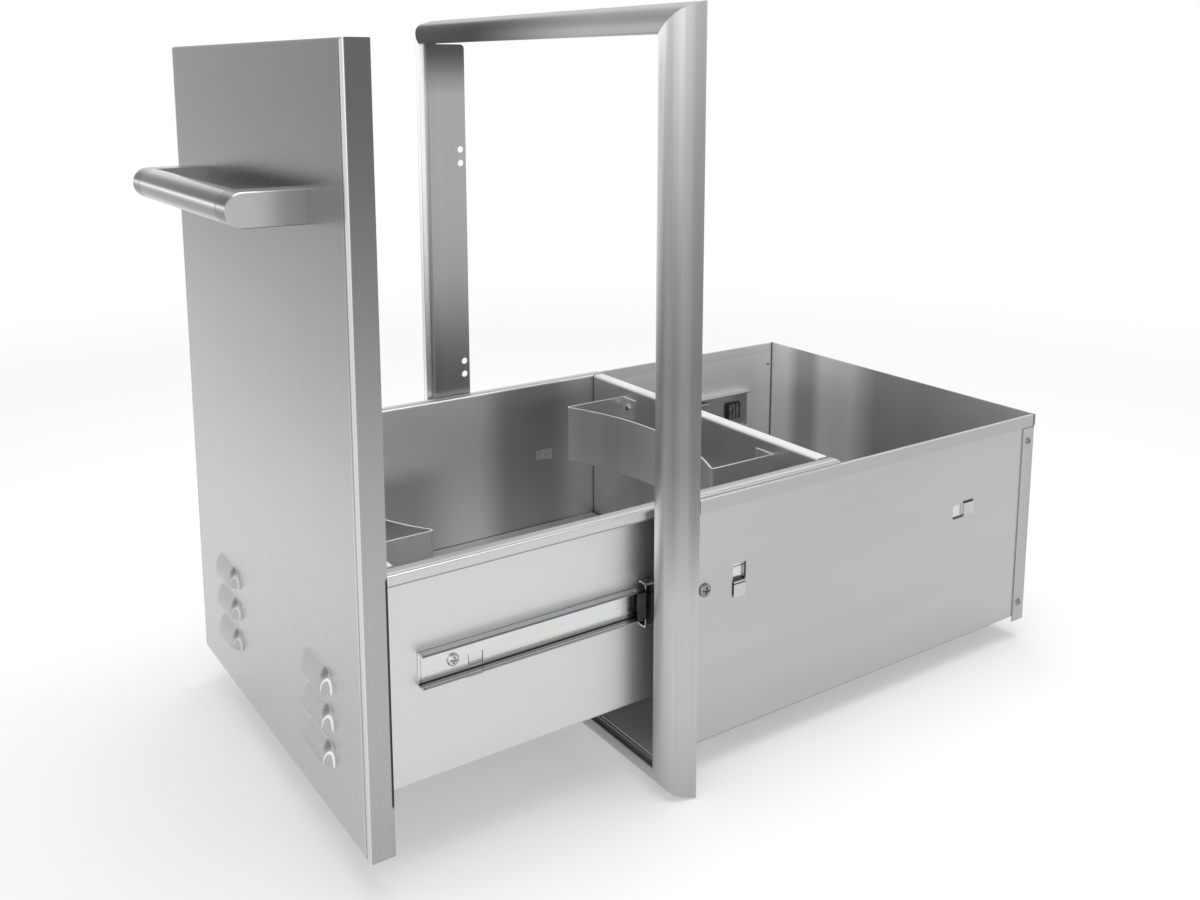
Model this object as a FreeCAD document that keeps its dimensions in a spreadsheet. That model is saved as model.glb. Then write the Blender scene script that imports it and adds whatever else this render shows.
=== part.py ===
"""Stainless steel propane tank drawer for an outdoor kitchen island.

The origin is at the middle of the trim frame's bottom edge, on the island's face. X runs to the right
for someone who faces the door, Y runs into the island and Z runs up. Lengths are in millimetres.
The drawer stands part way out.
"""

import FreeCAD, Part
import math
import operator
import os
import types

import Sketcher

# Driving dimensions: name, value and meaning
SIZES = [
    ("frame_width", 430.0, "trim frame, outside"),
    ("frame_height", 610.0, "trim frame, outside"),
    ("trim_width", 23.0, "face width of the bullnose trim"),
    ("trim_depth", 26.0, "how far the trim stands off the island"),
    ("trim_flare", 6.9, "lean of the trim's outer side over its depth"),
    ("trim_round", 18.0, "radius of the bullnose"),
    ("trim_lip_round", 1.2, "radius of the trim's inner front edge"),
    ("trim_return", 6.7, "depth of the trim's inner return"),
    ("trim_foot", 9.0, "width of the trim's return on the island's face"),
    ("trim_sheet", 1.2, "sheet thickness of the trim and the mounting flanges"),
    ("flange_reach", 21.0, "how far the mounting flanges go into the island"),
    ("flange_hole_radius", 3.3, "screw holes in the mounting flanges"),
    ("flange_hole_edge", 5.7, "hole centre to the flange's rear edge"),
    ("flange_hole_pitch", 13.6, "spacing within a pair of holes"),
    ("flange_upper_holes", 477.0, "height of the upper pair of holes"),
    ("flange_lower_holes", 260.0, "height of the lower pair of holes"),
    ("flange_corner_round", 4.0, "rounded rear corner of a mounting flange"),
    ("flange_drop", 6.0, "lip of the bottom mounting flange behind the bottom rail"),
    ("case_inset", 4.5, "frame opening's side to the case wall's outer face"),
    ("case_bottom", 24.0, "height of the case's underside"),
    ("case_top", 231.0, "height of the case's top edge"),
    ("case_rear", 441.0, "depth of the case's back"),
    ("case_sheet", 1.0, "sheet thickness of the case"),
    ("case_foot", 14.0, "width of the flange under the case floor"),
    ("hem_height", 11.5, "height of the folded top hem"),
    ("hem_gap", 0.4, "space inside the folded hem"),
    ("back_flange", 16.0, "width of the back panel's side flanges"),
    ("back_drop", 5.0, "how far the back panel hangs below the walls"),
    ("door_side_gap", 3.0, "frame opening's side to the shut door"),
    ("door_top_gap", 5.4, "frame opening's top to the shut door"),
    ("door_bottom_gap", 9.6, "frame opening's bottom to the shut door"),
    ("door_thickness", 18.6, "door panel"),
    ("door_round", 2.5, "radius of the door's folded front edges"),
    ("door_sheet", 1.2, "sheet thickness of the door panel"),
    ("door_stop_gap", 0.5, "space between the shut door and its ledge"),
    ("liner_depth", 10.0, "depth of the door liner's folded edge"),
    ("pull", 222.0, "how far the drawer stands out"),
    ("louvre_length", 61.0, "pressed louvre, end to end"),
    ("louvre_offset", 103.0, "middle of a louvre group to the middle of the door"),
    ("louvre_lowest", 76.0, "height of the lowest louvre's open edge"),
    ("louvre_pitch", 27.8, "spacing of the louvres"),
    ("louvre_hood", 24.0, "radius of a louvre's hood"),
    ("louvre_axis_depth", 17.5, "depth of the hood's centre line behind the door face"),
    ("louvre_end", 15.0, "length of a hood's rounded end"),
    ("handle_length", 240.0, "handle, over its arms"),
    ("handle_diameter", 24.0, "bar and rounded arm ends"),
    ("handle_reach", 42.0, "door face to the bar's axis"),
    ("handle_height", 473.0, "height of the bar's axis"),
    ("handle_arm", 20.6, "width of a handle arm"),
    ("handle_tube_wall", 1.5, "wall of the bar's tube"),
    ("handle_edge", 0.8, "chamfered outer edge of a handle arm"),
    ("slide_space", 12.7, "case wall to drawer wall, the room for a slide"),
    ("box_bottom", 70.0, "height of the drawer's underside"),
    ("box_top", 233.0, "height of the drawer's rim"),
    ("box_depth", 419.8, "drawer box, door to the rear rim's edge"),
    ("box_sheet", 1.0, "sheet thickness of the drawer box"),
    ("box_foot", 12.0, "width of the flange under the drawer floor"),
    ("rim_gap", 0.7, "drawer rim to case wall"),
    ("rim_lip", 8.0, "height of the rim's turned down lip"),
    ("bend_round", 1.6, "outer radius of the sheet bends"),
    ("floor_rise", 5.6, "height of the drawer floor's folded edge"),
    ("floor_clearance", 0.2, "space between a floor's edge and the walls"),
    ("front_bracket_width", 212.0, "front tank bracket, over its wings"),
    ("front_bracket_reach", 77.0, "front wall to the bracket's corners"),
    ("front_bracket_hollow", 36.0, "depth of the front bracket's curve"),
    ("rear_bracket_width", 233.0, "rear tank bracket, over its wings"),
    ("rear_bracket_reach", 72.5, "rear wall to the bracket's corners"),
    ("rear_bracket_hollow", 28.0, "depth of the rear bracket's curve"),
    ("bracket_height", 56.0, "tank bracket"),
    ("bracket_below_rim", 11.0, "drawer rim to the bracket's top edge"),
    ("bracket_ear", 23.0, "width of a bracket's ear"),
    ("bracket_sheet", 1.5, "sheet thickness of the tank brackets"),
    ("bracket_bend", 3.0, "outer radius of a tank bracket's corners"),
    ("bracket_screw_drop", 10.0, "bracket's top edge to its screw holes"),
    ("slide_height", 155.0, "height of the slides' centre line"),
    ("slide_sheet", 1.2, "sheet thickness of the slide rails"),
    ("slide_bend", 2.0, "outer radius of the rails' bends"),
    ("cabinet_rail_height", 45.7, "fixed rail"),
    ("cabinet_rail_width", 10.5, "fixed rail"),
    ("cabinet_rail_start", 2.0, "front end of the fixed rail"),
    ("cabinet_rail_length", 398.0, "fixed rail"),
    ("middle_rail_height", 36.8, "travelling rail"),
    ("middle_rail_width", 10.4, "travelling rail"),
    ("middle_rail_gap", 0.3, "fixed rail's web to the travelling rail's web"),
    ("middle_rail_start", -27.5, "front end of the travelling rail"),
    ("middle_rail_length", 360.5, "travelling rail"),
    ("drawer_rail_height", 25.0, "rail on the drawer"),
    ("drawer_rail_width", 8.4, "rail on the drawer"),
    ("drawer_rail_setback", 27.0, "door to the front end of the drawer's rail"),
    ("drawer_rail_length", 356.0, "rail on the drawer"),
    ("hook_width", 12.0, "rail hook"),
    ("cabinet_hook_length", 14.0, "hook of a fixed rail"),
    ("drawer_hook_length", 10.0, "hook of a drawer's rail"),
    ("drawer_slot_drop", 18.3, "slide's centre line to the lower end of a drawer wall's slot"),
    ("hook_clearance", 0.3, "space round a hook in its slot"),
    ("cabinet_screw_place", 26.5, "rail's front end to its screw"),
    ("cabinet_front_hook", 62.0, "rail's front end to its front hook"),
    ("cabinet_rear_hook", 339.0, "rail's front end to its rear hook"),
    ("drawer_screw_place", 26.3, "rail's front end to its screw"),
    ("drawer_front_hook", 44.3, "rail's front end to its front hook"),
    ("drawer_rear_hook", 315.3, "rail's front end to its rear hook"),
    ("bumper_start", 364.0, "rail's front end to its rear bumper"),
    ("bumper_length", 22.0, "rear bumper"),
    ("bumper_width", 7.3, "rear bumper"),
    ("bumper_height", 22.0, "rear bumper"),
    ("bumper_groove", 1.6, "grooves in the rear bumper's face"),
    ("cage_sheet", 1.0, "strip of the inner ball cage"),
    ("cage_track_gap", 0.3, "outer cage's strip to its tracks"),
    ("cage_web", 0.8, "web that joins the inner cage's strips"),
    ("outer_cage_width", 6.0, "strip of the outer ball cage"),
    ("outer_cage_middle", 169.2, "middle of the outer cage, along the rails"),
    ("outer_cage_length", 130.0, "outer ball cage"),
    ("inner_cage_width", 8.0, "inner ball cage"),
    ("inner_cage_middle", 56.2, "middle of the inner cage, along the rails"),
    ("inner_cage_length", 150.0, "inner ball cage"),
    ("ball_clearance", 0.12, "ball to its track"),
    ("pocket_clearance", 0.15, "ball to its pocket in the cage"),
    ("screw_radius", 2.0, "screw shank"),
    ("screw_head_height", 2.0, "screw head"),
    ("screw_hole_clearance", 0.1, "screw shank to its hole"),
    ("rail_screw_head", 5.7, "head radius of the screws on the slides"),
    ("vent_margin", 4.0, "louvre group to the edge of the window behind it"),
]
LOUVRE_ROWS = 3
BALLS_PER_ROW = 5
BUMPER_GROOVES = 3
LEFT, RIGHT = -1, 1
SIDE_NAMES = {LEFT: "left", RIGHT: "right"}
TOLERANCE = 1e-4

OPERATIONS = {"+": operator.add, "-": operator.sub, "*": operator.mul, "/": operator.truediv}


class Measure:
    """A length together with the sheet formula that gives it."""

    def __init__(self, formula, value):
        self.formula = formula
        self.value = value

    def __add__(self, other):
        return combine(self, "+", other)

    def __radd__(self, other):
        return combine(other, "+", self)

    def __sub__(self, other):
        return combine(self, "-", other)

    def __rsub__(self, other):
        return combine(other, "-", self)

    def __mul__(self, other):
        return combine(self, "*", other)

    def __rmul__(self, other):
        return combine(other, "*", self)

    def __truediv__(self, other):
        return combine(self, "/", other)

    def __neg__(self):
        return combine(0, "-", self)


def as_measure(thing):
    """Wrap a plain number."""
    if isinstance(thing, Measure):
        return thing
    return Measure(f"({thing})", thing)


def combine(left, sign, right):
    """Join two lengths by an arithmetic sign."""
    left = as_measure(left)
    right = as_measure(right)
    formula = f"({left.formula} {sign} {right.formula})"
    return Measure(formula, OPERATIONS[sign](left.value, right.value))


def square_root(thing):
    return Measure(f"sqrt({thing.formula})", math.sqrt(thing.value))


def bind(thing, attribute, length):
    """Tie a property of a document object to a sheet formula."""
    thing.setExpression(attribute, as_measure(length).formula)


def make_sheet():
    """Fill the sheet and return its cells as measures."""
    sheet = doc.addObject("Spreadsheet::Sheet", "Sizes")
    cells = {}
    for row, (name, value, meaning) in enumerate(SIZES, start=1):
        sheet.set(f"A{row}", name)
        sheet.set(f"B{row}", str(value))
        sheet.set(f"C{row}", meaning)
        sheet.setAlias(f"B{row}", name)
        cells[name] = Measure(f"Sizes.{name}", value)
    return types.SimpleNamespace(**cells)


doc = FreeCAD.newDocument("propane_tank_drawer")
size = make_sheet()
doc.recompute()
nodes = {}


def faces_back(plane):
    """Whether a sketch plane's normal points down its third axis."""
    return plane == "XZ"


def rectangle(low_x, high_x, low_y, high_y):
    return [(low_x, low_y), (high_x, low_y), (high_x, high_y), (low_x, high_y)]


def circle(x, y, radius):
    return (as_measure(x), as_measure(y), as_measure(radius))


def draw_circle(sketch, x, y, radius):
    """Draw a circle whose centre and radius follow the sheet."""
    centre = FreeCAD.Vector(x.value, y.value, 0)
    index = sketch.addGeometry(Part.Circle(centre, FreeCAD.Vector(0, 0, 1), radius.value))
    for kind, length in (("DistanceX", x), ("DistanceY", y)):
        number = sketch.addConstraint(Sketcher.Constraint(kind, -1, 1, index, 3, length.value))
        bind(sketch, f"Constraints[{number}]", length)
    number = sketch.addConstraint(Sketcher.Constraint("Radius", index, radius.value))
    bind(sketch, f"Constraints[{number}]", radius)


def arc_between(start, end, radius, turn):
    """Arc of under a half circle from start to end that turns left (1) or right (-1)."""
    chord = end - start
    half = chord.Length / 2
    rise = math.sqrt(max(radius ** 2 - half ** 2, 0))
    left_of_chord = FreeCAD.Vector(-chord.y, chord.x, 0).normalize()
    centre = (start + end) / 2 + left_of_chord * rise * turn
    first, last = (start, end) if turn > 0 else (end, start)
    angles = [math.atan2(point.y - centre.y, point.x - centre.x) for point in (first, last)]
    if angles[1] < angles[0]:
        angles[1] += 2 * math.pi
    return Part.ArcOfCircle(Part.Circle(centre, FreeCAD.Vector(0, 0, 1), radius), *angles)


def draw_outline(sketch, corners):
    """Draw a closed outline whose corners follow the sheet.

    A corner is (x, y), or (x, y, radius, turn) where the side that leaves it is an arc.
    """
    corners = [(as_measure(corner[0]), as_measure(corner[1]), *corner[2:]) for corner in corners]
    points = [FreeCAD.Vector(corner[0].value, corner[1].value, 0) for corner in corners]
    sides = []
    for place, corner in enumerate(corners):
        start = points[place]
        end = points[(place + 1) % len(points)]
        if len(corner) == 2:
            index = sketch.addGeometry(Part.LineSegment(start, end))
            sides.append((index, 1, 2))
            continue
        radius, turn = corner[2:]
        index = sketch.addGeometry(arc_between(start, end, radius.value, turn))
        sides.append((index, 1, 2) if turn > 0 else (index, 2, 1))
    for place, (index, _, last) in enumerate(sides):
        following, following_first, _ = sides[(place + 1) % len(sides)]
        sketch.addConstraint(Sketcher.Constraint("Coincident", index, last, following, following_first))
    for (index, first, _), corner in zip(sides, corners):
        for kind, length in (("DistanceX", corner[0]), ("DistanceY", corner[1])):
            number = sketch.addConstraint(Sketcher.Constraint(kind, -1, 1, index, first, length.value))
            bind(sketch, f"Constraints[{number}]", length)
        if len(corner) > 2:
            number = sketch.addConstraint(Sketcher.Constraint("Radius", index, corner[2].value))
            bind(sketch, f"Constraints[{number}]", corner[2])


class Piece:
    """One sub-part: a body and the features that shape it."""

    def __init__(self, name, several=False):
        self.name = name
        self.body = doc.addObject("PartDesign::Body", name)
        self.body.Label = name
        self.body.AllowCompound = several
        nodes[name] = self.body

    def sketch(self, plane, level, outlines, place=(0, 0)):
        """Sketch on an origin plane, moved along the third axis to a level and in the plane to a place."""
        sketch = self.body.newObject("Sketcher::SketchObject", f"{self.name}_sketch")
        role = f"{plane}_Plane"
        support = [feature for feature in self.body.Origin.OriginFeatures if feature.Role == role]
        sketch.AttachmentSupport = [(support[0], "")]
        sketch.MapMode = "FlatFace"
        offsets = (place[0], place[1], -level if faces_back(plane) else level)
        for axis, offset in zip("xyz", offsets):
            bind(sketch, f"AttachmentOffset.Base.{axis}", offset)
        for outline in outlines:
            if isinstance(outline, tuple):
                draw_circle(sketch, *outline)
            else:
                draw_outline(sketch, outline)
        return sketch

    def pad(self, plane, low, high, *outlines):
        """Add material between two levels along the plane's third axis."""
        sketch = self.sketch(plane, as_measure(low), outlines)
        feature = self.body.newObject("PartDesign::Pad", f"{self.name}_pad")
        feature.Profile = sketch
        feature.Reversed = faces_back(plane)
        bind(feature, "Length", high - low)
        doc.recompute()
        return self

    def cut(self, plane, low, high, *outlines):
        """Take material away between two levels along the plane's third axis."""
        volume = self.body.Shape.Volume
        sketch = self.sketch(plane, as_measure(low), outlines)
        feature = self.body.newObject("PartDesign::Pocket", f"{self.name}_pocket")
        feature.Profile = sketch
        feature.Reversed = not faces_back(plane)
        bind(feature, "Length", high - low)
        doc.recompute()
        if self.body.Shape.Volume > volume - TOLERANCE:
            raise RuntimeError(f"a cut in {self.name} took nothing away")
        return self

    def turn(self, kind, plane, level, place, outline, degrees):
        """Add or take a revolved form about the sketch's horizontal axis."""
        sketch = self.sketch(plane, as_measure(level), [outline], place)
        feature = self.body.newObject(f"PartDesign::{kind}", f"{self.name}_turned")
        feature.Profile = sketch
        feature.ReferenceAxis = (sketch, ["H_Axis"])
        feature.Angle = degrees
        feature.Reversed = False
        doc.recompute()
        return self

    def soften(self, amount, wanted, kind="Fillet"):
        """Round or chamfer the edges that a test picks."""
        base = self.body.Tip
        names = [f"Edge{n}" for n, edge in enumerate(base.Shape.Edges, start=1) if wanted(edge)]
        if not names:
            raise RuntimeError(f"no edge of {self.name} to soften")
        feature = self.body.newObject(f"PartDesign::{kind}", f"{self.name}_edge")
        feature.Base = (base, names)
        bind(feature, "Radius" if kind == "Fillet" else "Size", amount)
        doc.recompute()
        return self

    def bend(self, radius, plane, *corners):
        """Round the straight edges that stand on the plane at the given corners."""
        kept = ["XYZ".index(letter) for letter in plane]
        targets = [[as_measure(value).value for value in corner] for corner in corners]

        def stands_on_corner(edge):
            ends = [vertex.Point for vertex in edge.Vertexes]
            if len(ends) != 2:
                return False
            return any(
                all(abs(end[axis] - target[n]) < TOLERANCE for end in ends for n, axis in enumerate(kept))
                for target in targets
            )

        return self.soften(radius, stands_on_corner)


def span(side, near, far):
    """Lower and higher X of something between two distances from the middle."""
    if side > 0:
        return near, far
    return -far, -near


# Places that several pieces share
opening_half = size.frame_width / 2 - size.trim_width
opening_bottom = size.trim_width
opening_top = size.frame_height - size.trim_width
ledge_front = size.trim_return - size.trim_depth
ledge_rear = ledge_front + size.trim_sheet
case_half = opening_half - size.case_inset
case_inner = case_half - size.case_sheet
case_floor_level = size.case_bottom + size.case_sheet
back_front = size.case_rear - size.case_sheet
door_back = ledge_front - size.door_stop_gap - size.pull
door_front = door_back - size.door_thickness
door_half = opening_half - size.door_side_gap
door_bottom = opening_bottom + size.door_bottom_gap
door_top = opening_top - size.door_top_gap
box_half = case_inner - size.slide_space
box_inner = box_half - size.box_sheet
rim_width = case_inner - size.rim_gap - box_inner
box_rear = door_back + size.box_depth
front_wall_face = door_back + size.box_sheet
rear_wall_face = box_rear - rim_width
bracket_top = size.box_top - size.bracket_below_rim
bracket_bottom = bracket_top - size.bracket_height
screw_hole = size.screw_radius + size.screw_hole_clearance
drawer_rail_start = door_back + size.drawer_rail_setback


def trim_outline(place):
    """Cross section of the bullnose trim; place turns (outward, depth) into a sketch point."""
    sheet = size.trim_sheet
    nose = size.trim_width - size.trim_flare
    lean = size.trim_flare / size.trim_depth
    back = size.trim_depth - sheet
    foot = size.trim_width - size.trim_foot
    return [
        place(0, size.trim_return),
        place(0, 0),
        place(nose, 0),
        place(size.trim_width, size.trim_depth),
        place(foot, size.trim_depth),
        place(foot, back),
        place(nose + lean * back - sheet, back),
        place(nose + lean * sheet - sheet, sheet),
        place(sheet, sheet),
        place(sheet, size.trim_return),
    ]


def round_trim(piece, plane, outline):
    """Form the bullnose and the softened inner edge."""
    piece.bend(size.trim_lip_round, plane, outline[1])
    piece.bend(size.trim_round, plane, outline[2])
    piece.bend(size.trim_round - size.trim_sheet, plane, outline[7])


def mitre_corner(across, upward):
    """Waste beyond a 45 degree mitre, at the right (1) or left (-1) and the top (1) or bottom (-1)."""
    spare = size.trim_sheet
    outer_x = across * (size.frame_width / 2 + spare)
    inner_x = across * (opening_half - spare)
    middle = size.frame_height / 2
    outer_z = middle + upward * (middle + spare)
    inner_z = middle + upward * (middle - size.trim_width - spare)
    return inner_x, outer_x, inner_z, outer_z


def make_stile(side):
    piece = Piece(f"frame_{SIDE_NAMES[side]}_stile")

    def place(outward, depth):
        return side * (opening_half + outward), depth - size.trim_depth

    outline = trim_outline(place)
    piece.pad("XY", 0, size.frame_height, outline)
    round_trim(piece, "XY", outline)
    for upward in (1, -1):
        inner_x, outer_x, inner_z, outer_z = mitre_corner(side, upward)
        waste = [(inner_x, inner_z), (outer_x, outer_z), (inner_x, outer_z)]
        piece.cut("XZ", -2 * size.trim_depth, size.trim_depth, waste)


def make_rail(name, upward):
    piece = Piece(name)
    edge = opening_top if upward > 0 else opening_bottom

    def place(outward, depth):
        return depth - size.trim_depth, edge + upward * outward

    outline = trim_outline(place)
    piece.pad("YZ", -size.frame_width / 2, size.frame_width / 2, outline)
    round_trim(piece, "YZ", outline)
    for across in (LEFT, RIGHT):
        inner_x, outer_x, inner_z, outer_z = mitre_corner(across, upward)
        waste = [(inner_x, inner_z), (outer_x, outer_z), (outer_x, inner_z)]
        piece.cut("XZ", -2 * size.trim_depth, size.trim_depth, waste)


def make_mounting_flange(side):
    """Door stop ledge and screw flange behind a stile."""
    piece = Piece(f"{SIDE_NAMES[side]}_mounting_flange")
    inner = side * case_half
    outer = side * (case_half + size.trim_sheet)
    behind_stile = side * (opening_half + size.trim_sheet)
    outline = [
        (inner, ledge_front),
        (behind_stile, ledge_front),
        (behind_stile, ledge_rear),
        (outer, ledge_rear),
        (outer, size.flange_reach),
        (inner, size.flange_reach),
    ]
    piece.pad("XY", opening_bottom, opening_top, outline)
    piece.bend(size.bend_round, "XY", outline[0])
    corners = [(size.flange_reach, opening_top), (size.flange_reach, opening_bottom)]
    piece.bend(size.flange_corner_round, "YZ", *corners)
    hole_y = size.flange_reach - size.flange_hole_edge
    holes = [
        circle(hole_y, middle + half * size.flange_hole_pitch / 2, size.flange_hole_radius)
        for middle in (size.flange_upper_holes, size.flange_lower_holes)
        for half in (-1, 1)
    ]
    piece.cut("YZ", *span(side, case_half, case_half + size.trim_sheet), *holes)


def make_bottom_flange():
    """Strip that joins the case floor to the bottom rail."""
    piece = Piece("bottom_mounting_flange")
    top = size.case_bottom
    under = top - size.trim_sheet
    outline = [
        (ledge_front, top),
        (ledge_front, top - size.flange_drop),
        (ledge_rear, top - size.flange_drop),
        (ledge_rear, under),
        (size.flange_reach, under),
        (size.flange_reach, top),
    ]
    piece.pad("YZ", -case_half, case_half, outline)
    piece.bend(size.bend_round, "YZ", outline[0])


def upright(sense, near, far):
    """Lower and higher Z of something between two distances from the slides' centre line."""
    if sense > 0:
        return size.slide_height + near, size.slide_height + far
    return size.slide_height - far, size.slide_height - near


def hook_slots(start, front_hook, rear_hook, tab, drop, length):
    """Slots of (Y, Z) for a rail's hooks; tab is 1 where the front hook points up and -1 down."""
    half = size.hook_width / 2 + size.hook_clearance
    front = start + front_hook
    rear = start + rear_hook
    thick = size.slide_sheet + size.hook_clearance
    return [
        rectangle(front - half, front + half, *upright(tab, -drop, thick)),
        rectangle(rear - length, rear + thick, *upright(1, -half, half)),
    ]


def make_case_wall(side):
    piece = Piece(f"case_{SIDE_NAMES[side]}_wall")
    foot = side * (case_inner - size.case_foot)
    outline = [
        (side * case_half, size.case_bottom),
        (side * case_half, size.case_top),
        (side * case_inner, size.case_top),
        (side * case_inner, case_floor_level),
        (foot, case_floor_level),
        (foot, size.case_bottom),
    ]
    piece.pad("XZ", ledge_rear, back_front, outline)
    hem_inner = side * (case_half + size.hem_gap)
    hem_outer = side * (case_half + size.hem_gap + size.case_sheet)
    hem_foot = size.case_top - size.hem_height
    hem = [
        (side * case_half, size.case_top),
        (hem_outer, size.case_top),
        (hem_outer, hem_foot),
        (hem_inner, hem_foot),
        (hem_inner, size.case_top - size.case_sheet),
        (side * case_half, size.case_top - size.case_sheet),
    ]
    piece.pad("XZ", size.flange_reach + size.case_sheet, back_front, hem)
    piece.bend(size.case_sheet, "XZ", hem[1])
    piece.bend(size.bend_round, "XZ", outline[0])
    walls = span(side, case_inner, case_half)
    slots = hook_slots(
        size.cabinet_rail_start, size.cabinet_front_hook, size.cabinet_rear_hook, -1,
        size.cabinet_hook_length, size.cabinet_hook_length,
    )
    screw_y = size.cabinet_rail_start + size.cabinet_screw_place
    piece.cut("YZ", *walls, *slots, circle(screw_y, size.slide_height, screw_hole))


def make_case_floor():
    piece = Piece("case_floor")
    half = case_inner - size.floor_clearance
    outline = rectangle(-half, half, ledge_rear, back_front)
    piece.pad("XY", case_floor_level, case_floor_level + size.case_sheet, outline)


def make_back_panel():
    piece = Piece("case_back_panel")
    outer = case_half + size.case_sheet
    flange_front = size.case_rear - size.back_flange
    shoulder = size.case_top - size.hem_height - size.case_sheet
    low = size.case_bottom - size.back_drop
    tray = [
        (outer, flange_front),
        (outer, size.case_rear),
        (-outer, size.case_rear),
        (-outer, flange_front),
        (-case_half, flange_front),
        (-case_half, back_front),
        (case_half, back_front),
        (case_half, flange_front),
    ]
    piece.pad("XY", low, shoulder, tray)
    piece.pad("XY", shoulder, size.case_top, rectangle(-outer, outer, back_front, size.case_rear))
    hem_near = size.case_rear + size.hem_gap
    hem_far = hem_near + size.case_sheet
    hem = [
        (size.case_rear, size.case_top),
        (hem_far, size.case_top),
        (hem_far, size.case_top - size.hem_height),
        (hem_near, size.case_top - size.hem_height),
        (hem_near, size.case_top - size.case_sheet),
        (size.case_rear, size.case_top - size.case_sheet),
    ]
    piece.pad("YZ", -outer, outer, hem)
    piece.bend(size.case_sheet, "YZ", hem[1])


def make_screws(name, place, screws):
    """Pan head screws at one place of (Y, Z), each as (head's face, head's top, shank's tip) along X."""
    piece = Piece(name, several=True)
    for face, top, tip in screws:
        ordered = (face, top) if face.value < top.value else (top, face)
        piece.pad("YZ", *ordered, circle(*place, size.rail_screw_head))
        ordered = (face, tip) if face.value < tip.value else (tip, face)
        piece.pad("YZ", *ordered, circle(*place, size.screw_radius))


def make_case_screws():
    place = (size.cabinet_rail_start + size.cabinet_screw_place, size.slide_height)
    screws = []
    for side in (LEFT, RIGHT):
        top = side * (case_half + size.screw_head_height)
        tip = side * (case_inner - size.slide_sheet)
        screws.append((side * case_half, top, tip))
    make_screws("cabinet_rail_screws", place, screws)


def channel_outline(side, web, lips, height):
    """Cross section of a slide rail: web at one distance from the middle, lips out to another."""
    sheet = size.slide_sheet if web.value < lips.value else -size.slide_sheet
    inner = web + sheet
    top = size.slide_height + height / 2
    low = size.slide_height - height / 2
    return [
        (side * web, top),
        (side * lips, top),
        (side * lips, top - size.slide_sheet),
        (side * inner, top - size.slide_sheet),
        (side * inner, low + size.slide_sheet),
        (side * lips, low + size.slide_sheet),
        (side * lips, low),
        (side * web, low),
    ]


def make_channel(name, side, web, lips, height, start, length):
    piece = Piece(name)
    outline = channel_outline(side, web, lips, height)
    piece.pad("XZ", start, start + length, outline)
    piece.bend(size.slide_bend, "XZ", outline[0], outline[7])
    return piece


def add_hooks(piece, side, web, sense, wall, start, front_hook, rear_hook, length):
    """Lance two hooks out of a rail's web, through its wall.

    With sense 1 they go outwards and the front tab points down, with -1 inwards and up.
    """
    root = web - sense * size.slide_sheet
    tab_near = web + sense * (wall + size.hook_clearance)
    tab_far = tab_near + sense * size.slide_sheet
    half = size.hook_width / 2
    front = start + front_hook
    rear = start + rear_hook
    rear_heights = upright(1, -half, half)
    windows = [
        rectangle(front - half, front + half, *upright(sense, 0, length)),
        rectangle(rear - length, rear, *rear_heights),
    ]
    necks = [
        rectangle(front - half, front + half, *upright(-sense, 0, size.slide_sheet)),
        rectangle(rear, rear + size.slide_sheet, *rear_heights),
    ]
    tabs = [
        rectangle(front - half, front + half, *upright(-sense, 0, length)),
        rectangle(rear, rear + length, *rear_heights),
    ]
    near, far = (root, web) if sense > 0 else (web, root)
    piece.cut("YZ", *span(side, near, far), *windows)
    near, far = (root, tab_far) if sense > 0 else (tab_far, root)
    piece.pad("YZ", *span(side, near, far), *necks)
    near, far = (tab_near, tab_far) if sense > 0 else (tab_far, tab_near)
    piece.pad("YZ", *span(side, near, far), *tabs)


middle_web = case_inner - size.slide_sheet - size.middle_rail_gap


def make_slide(side):
    """Fixed, travelling and drawer rail of one slide."""
    word = SIDE_NAMES[side]
    lips = case_inner - size.cabinet_rail_width
    start = size.cabinet_rail_start
    rail = make_channel(
        f"{word}_cabinet_rail", side, case_inner, lips, size.cabinet_rail_height, start,
        size.cabinet_rail_length,
    )
    add_hooks(
        rail, side, case_inner, 1, size.case_sheet, start, size.cabinet_front_hook, size.cabinet_rear_hook,
        size.cabinet_hook_length,
    )
    hole = circle(start + size.cabinet_screw_place, size.slide_height, screw_hole)
    rail.cut("YZ", *span(side, case_inner - size.slide_sheet, case_inner), hole)

    lips = middle_web - size.middle_rail_width
    make_channel(
        f"{word}_middle_rail", side, middle_web, lips, size.middle_rail_height, size.middle_rail_start,
        size.middle_rail_length,
    )

    lips = box_half + size.drawer_rail_width
    start = drawer_rail_start
    rail = make_channel(
        f"{word}_drawer_rail", side, box_half, lips, size.drawer_rail_height, start, size.drawer_rail_length
    )
    add_hooks(
        rail, side, box_half, -1, size.box_sheet, start, size.drawer_front_hook, size.drawer_rear_hook,
        size.drawer_hook_length,
    )
    hole = circle(start + size.drawer_screw_place, size.slide_height, screw_hole)
    rail.cut("YZ", *span(side, box_half, box_half + size.slide_sheet), hole)


def make_bumper(side):
    """Black stop in the rear of a fixed rail, with grooves across its face."""
    piece = Piece(f"{SIDE_NAMES[side]}_rail_bumper")
    seat = case_inner - size.slide_sheet
    face = seat - size.bumper_width
    front = size.cabinet_rail_start + size.bumper_start
    rear = front + size.bumper_length
    low = size.slide_height - size.bumper_height / 2
    high = size.slide_height + size.bumper_height / 2
    piece.pad("YZ", *span(side, face, seat), rectangle(front, rear, low, high))
    grooves = []
    for step in range(1, BUMPER_GROOVES + 1):
        y = front + size.bumper_length * step / (BUMPER_GROOVES + 1)
        grooves.append(rectangle(y - size.bumper_groove / 2, y + size.bumper_groove / 2, low, high))
    piece.cut("YZ", *span(side, face, face + size.bumper_groove), *grooves)


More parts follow.
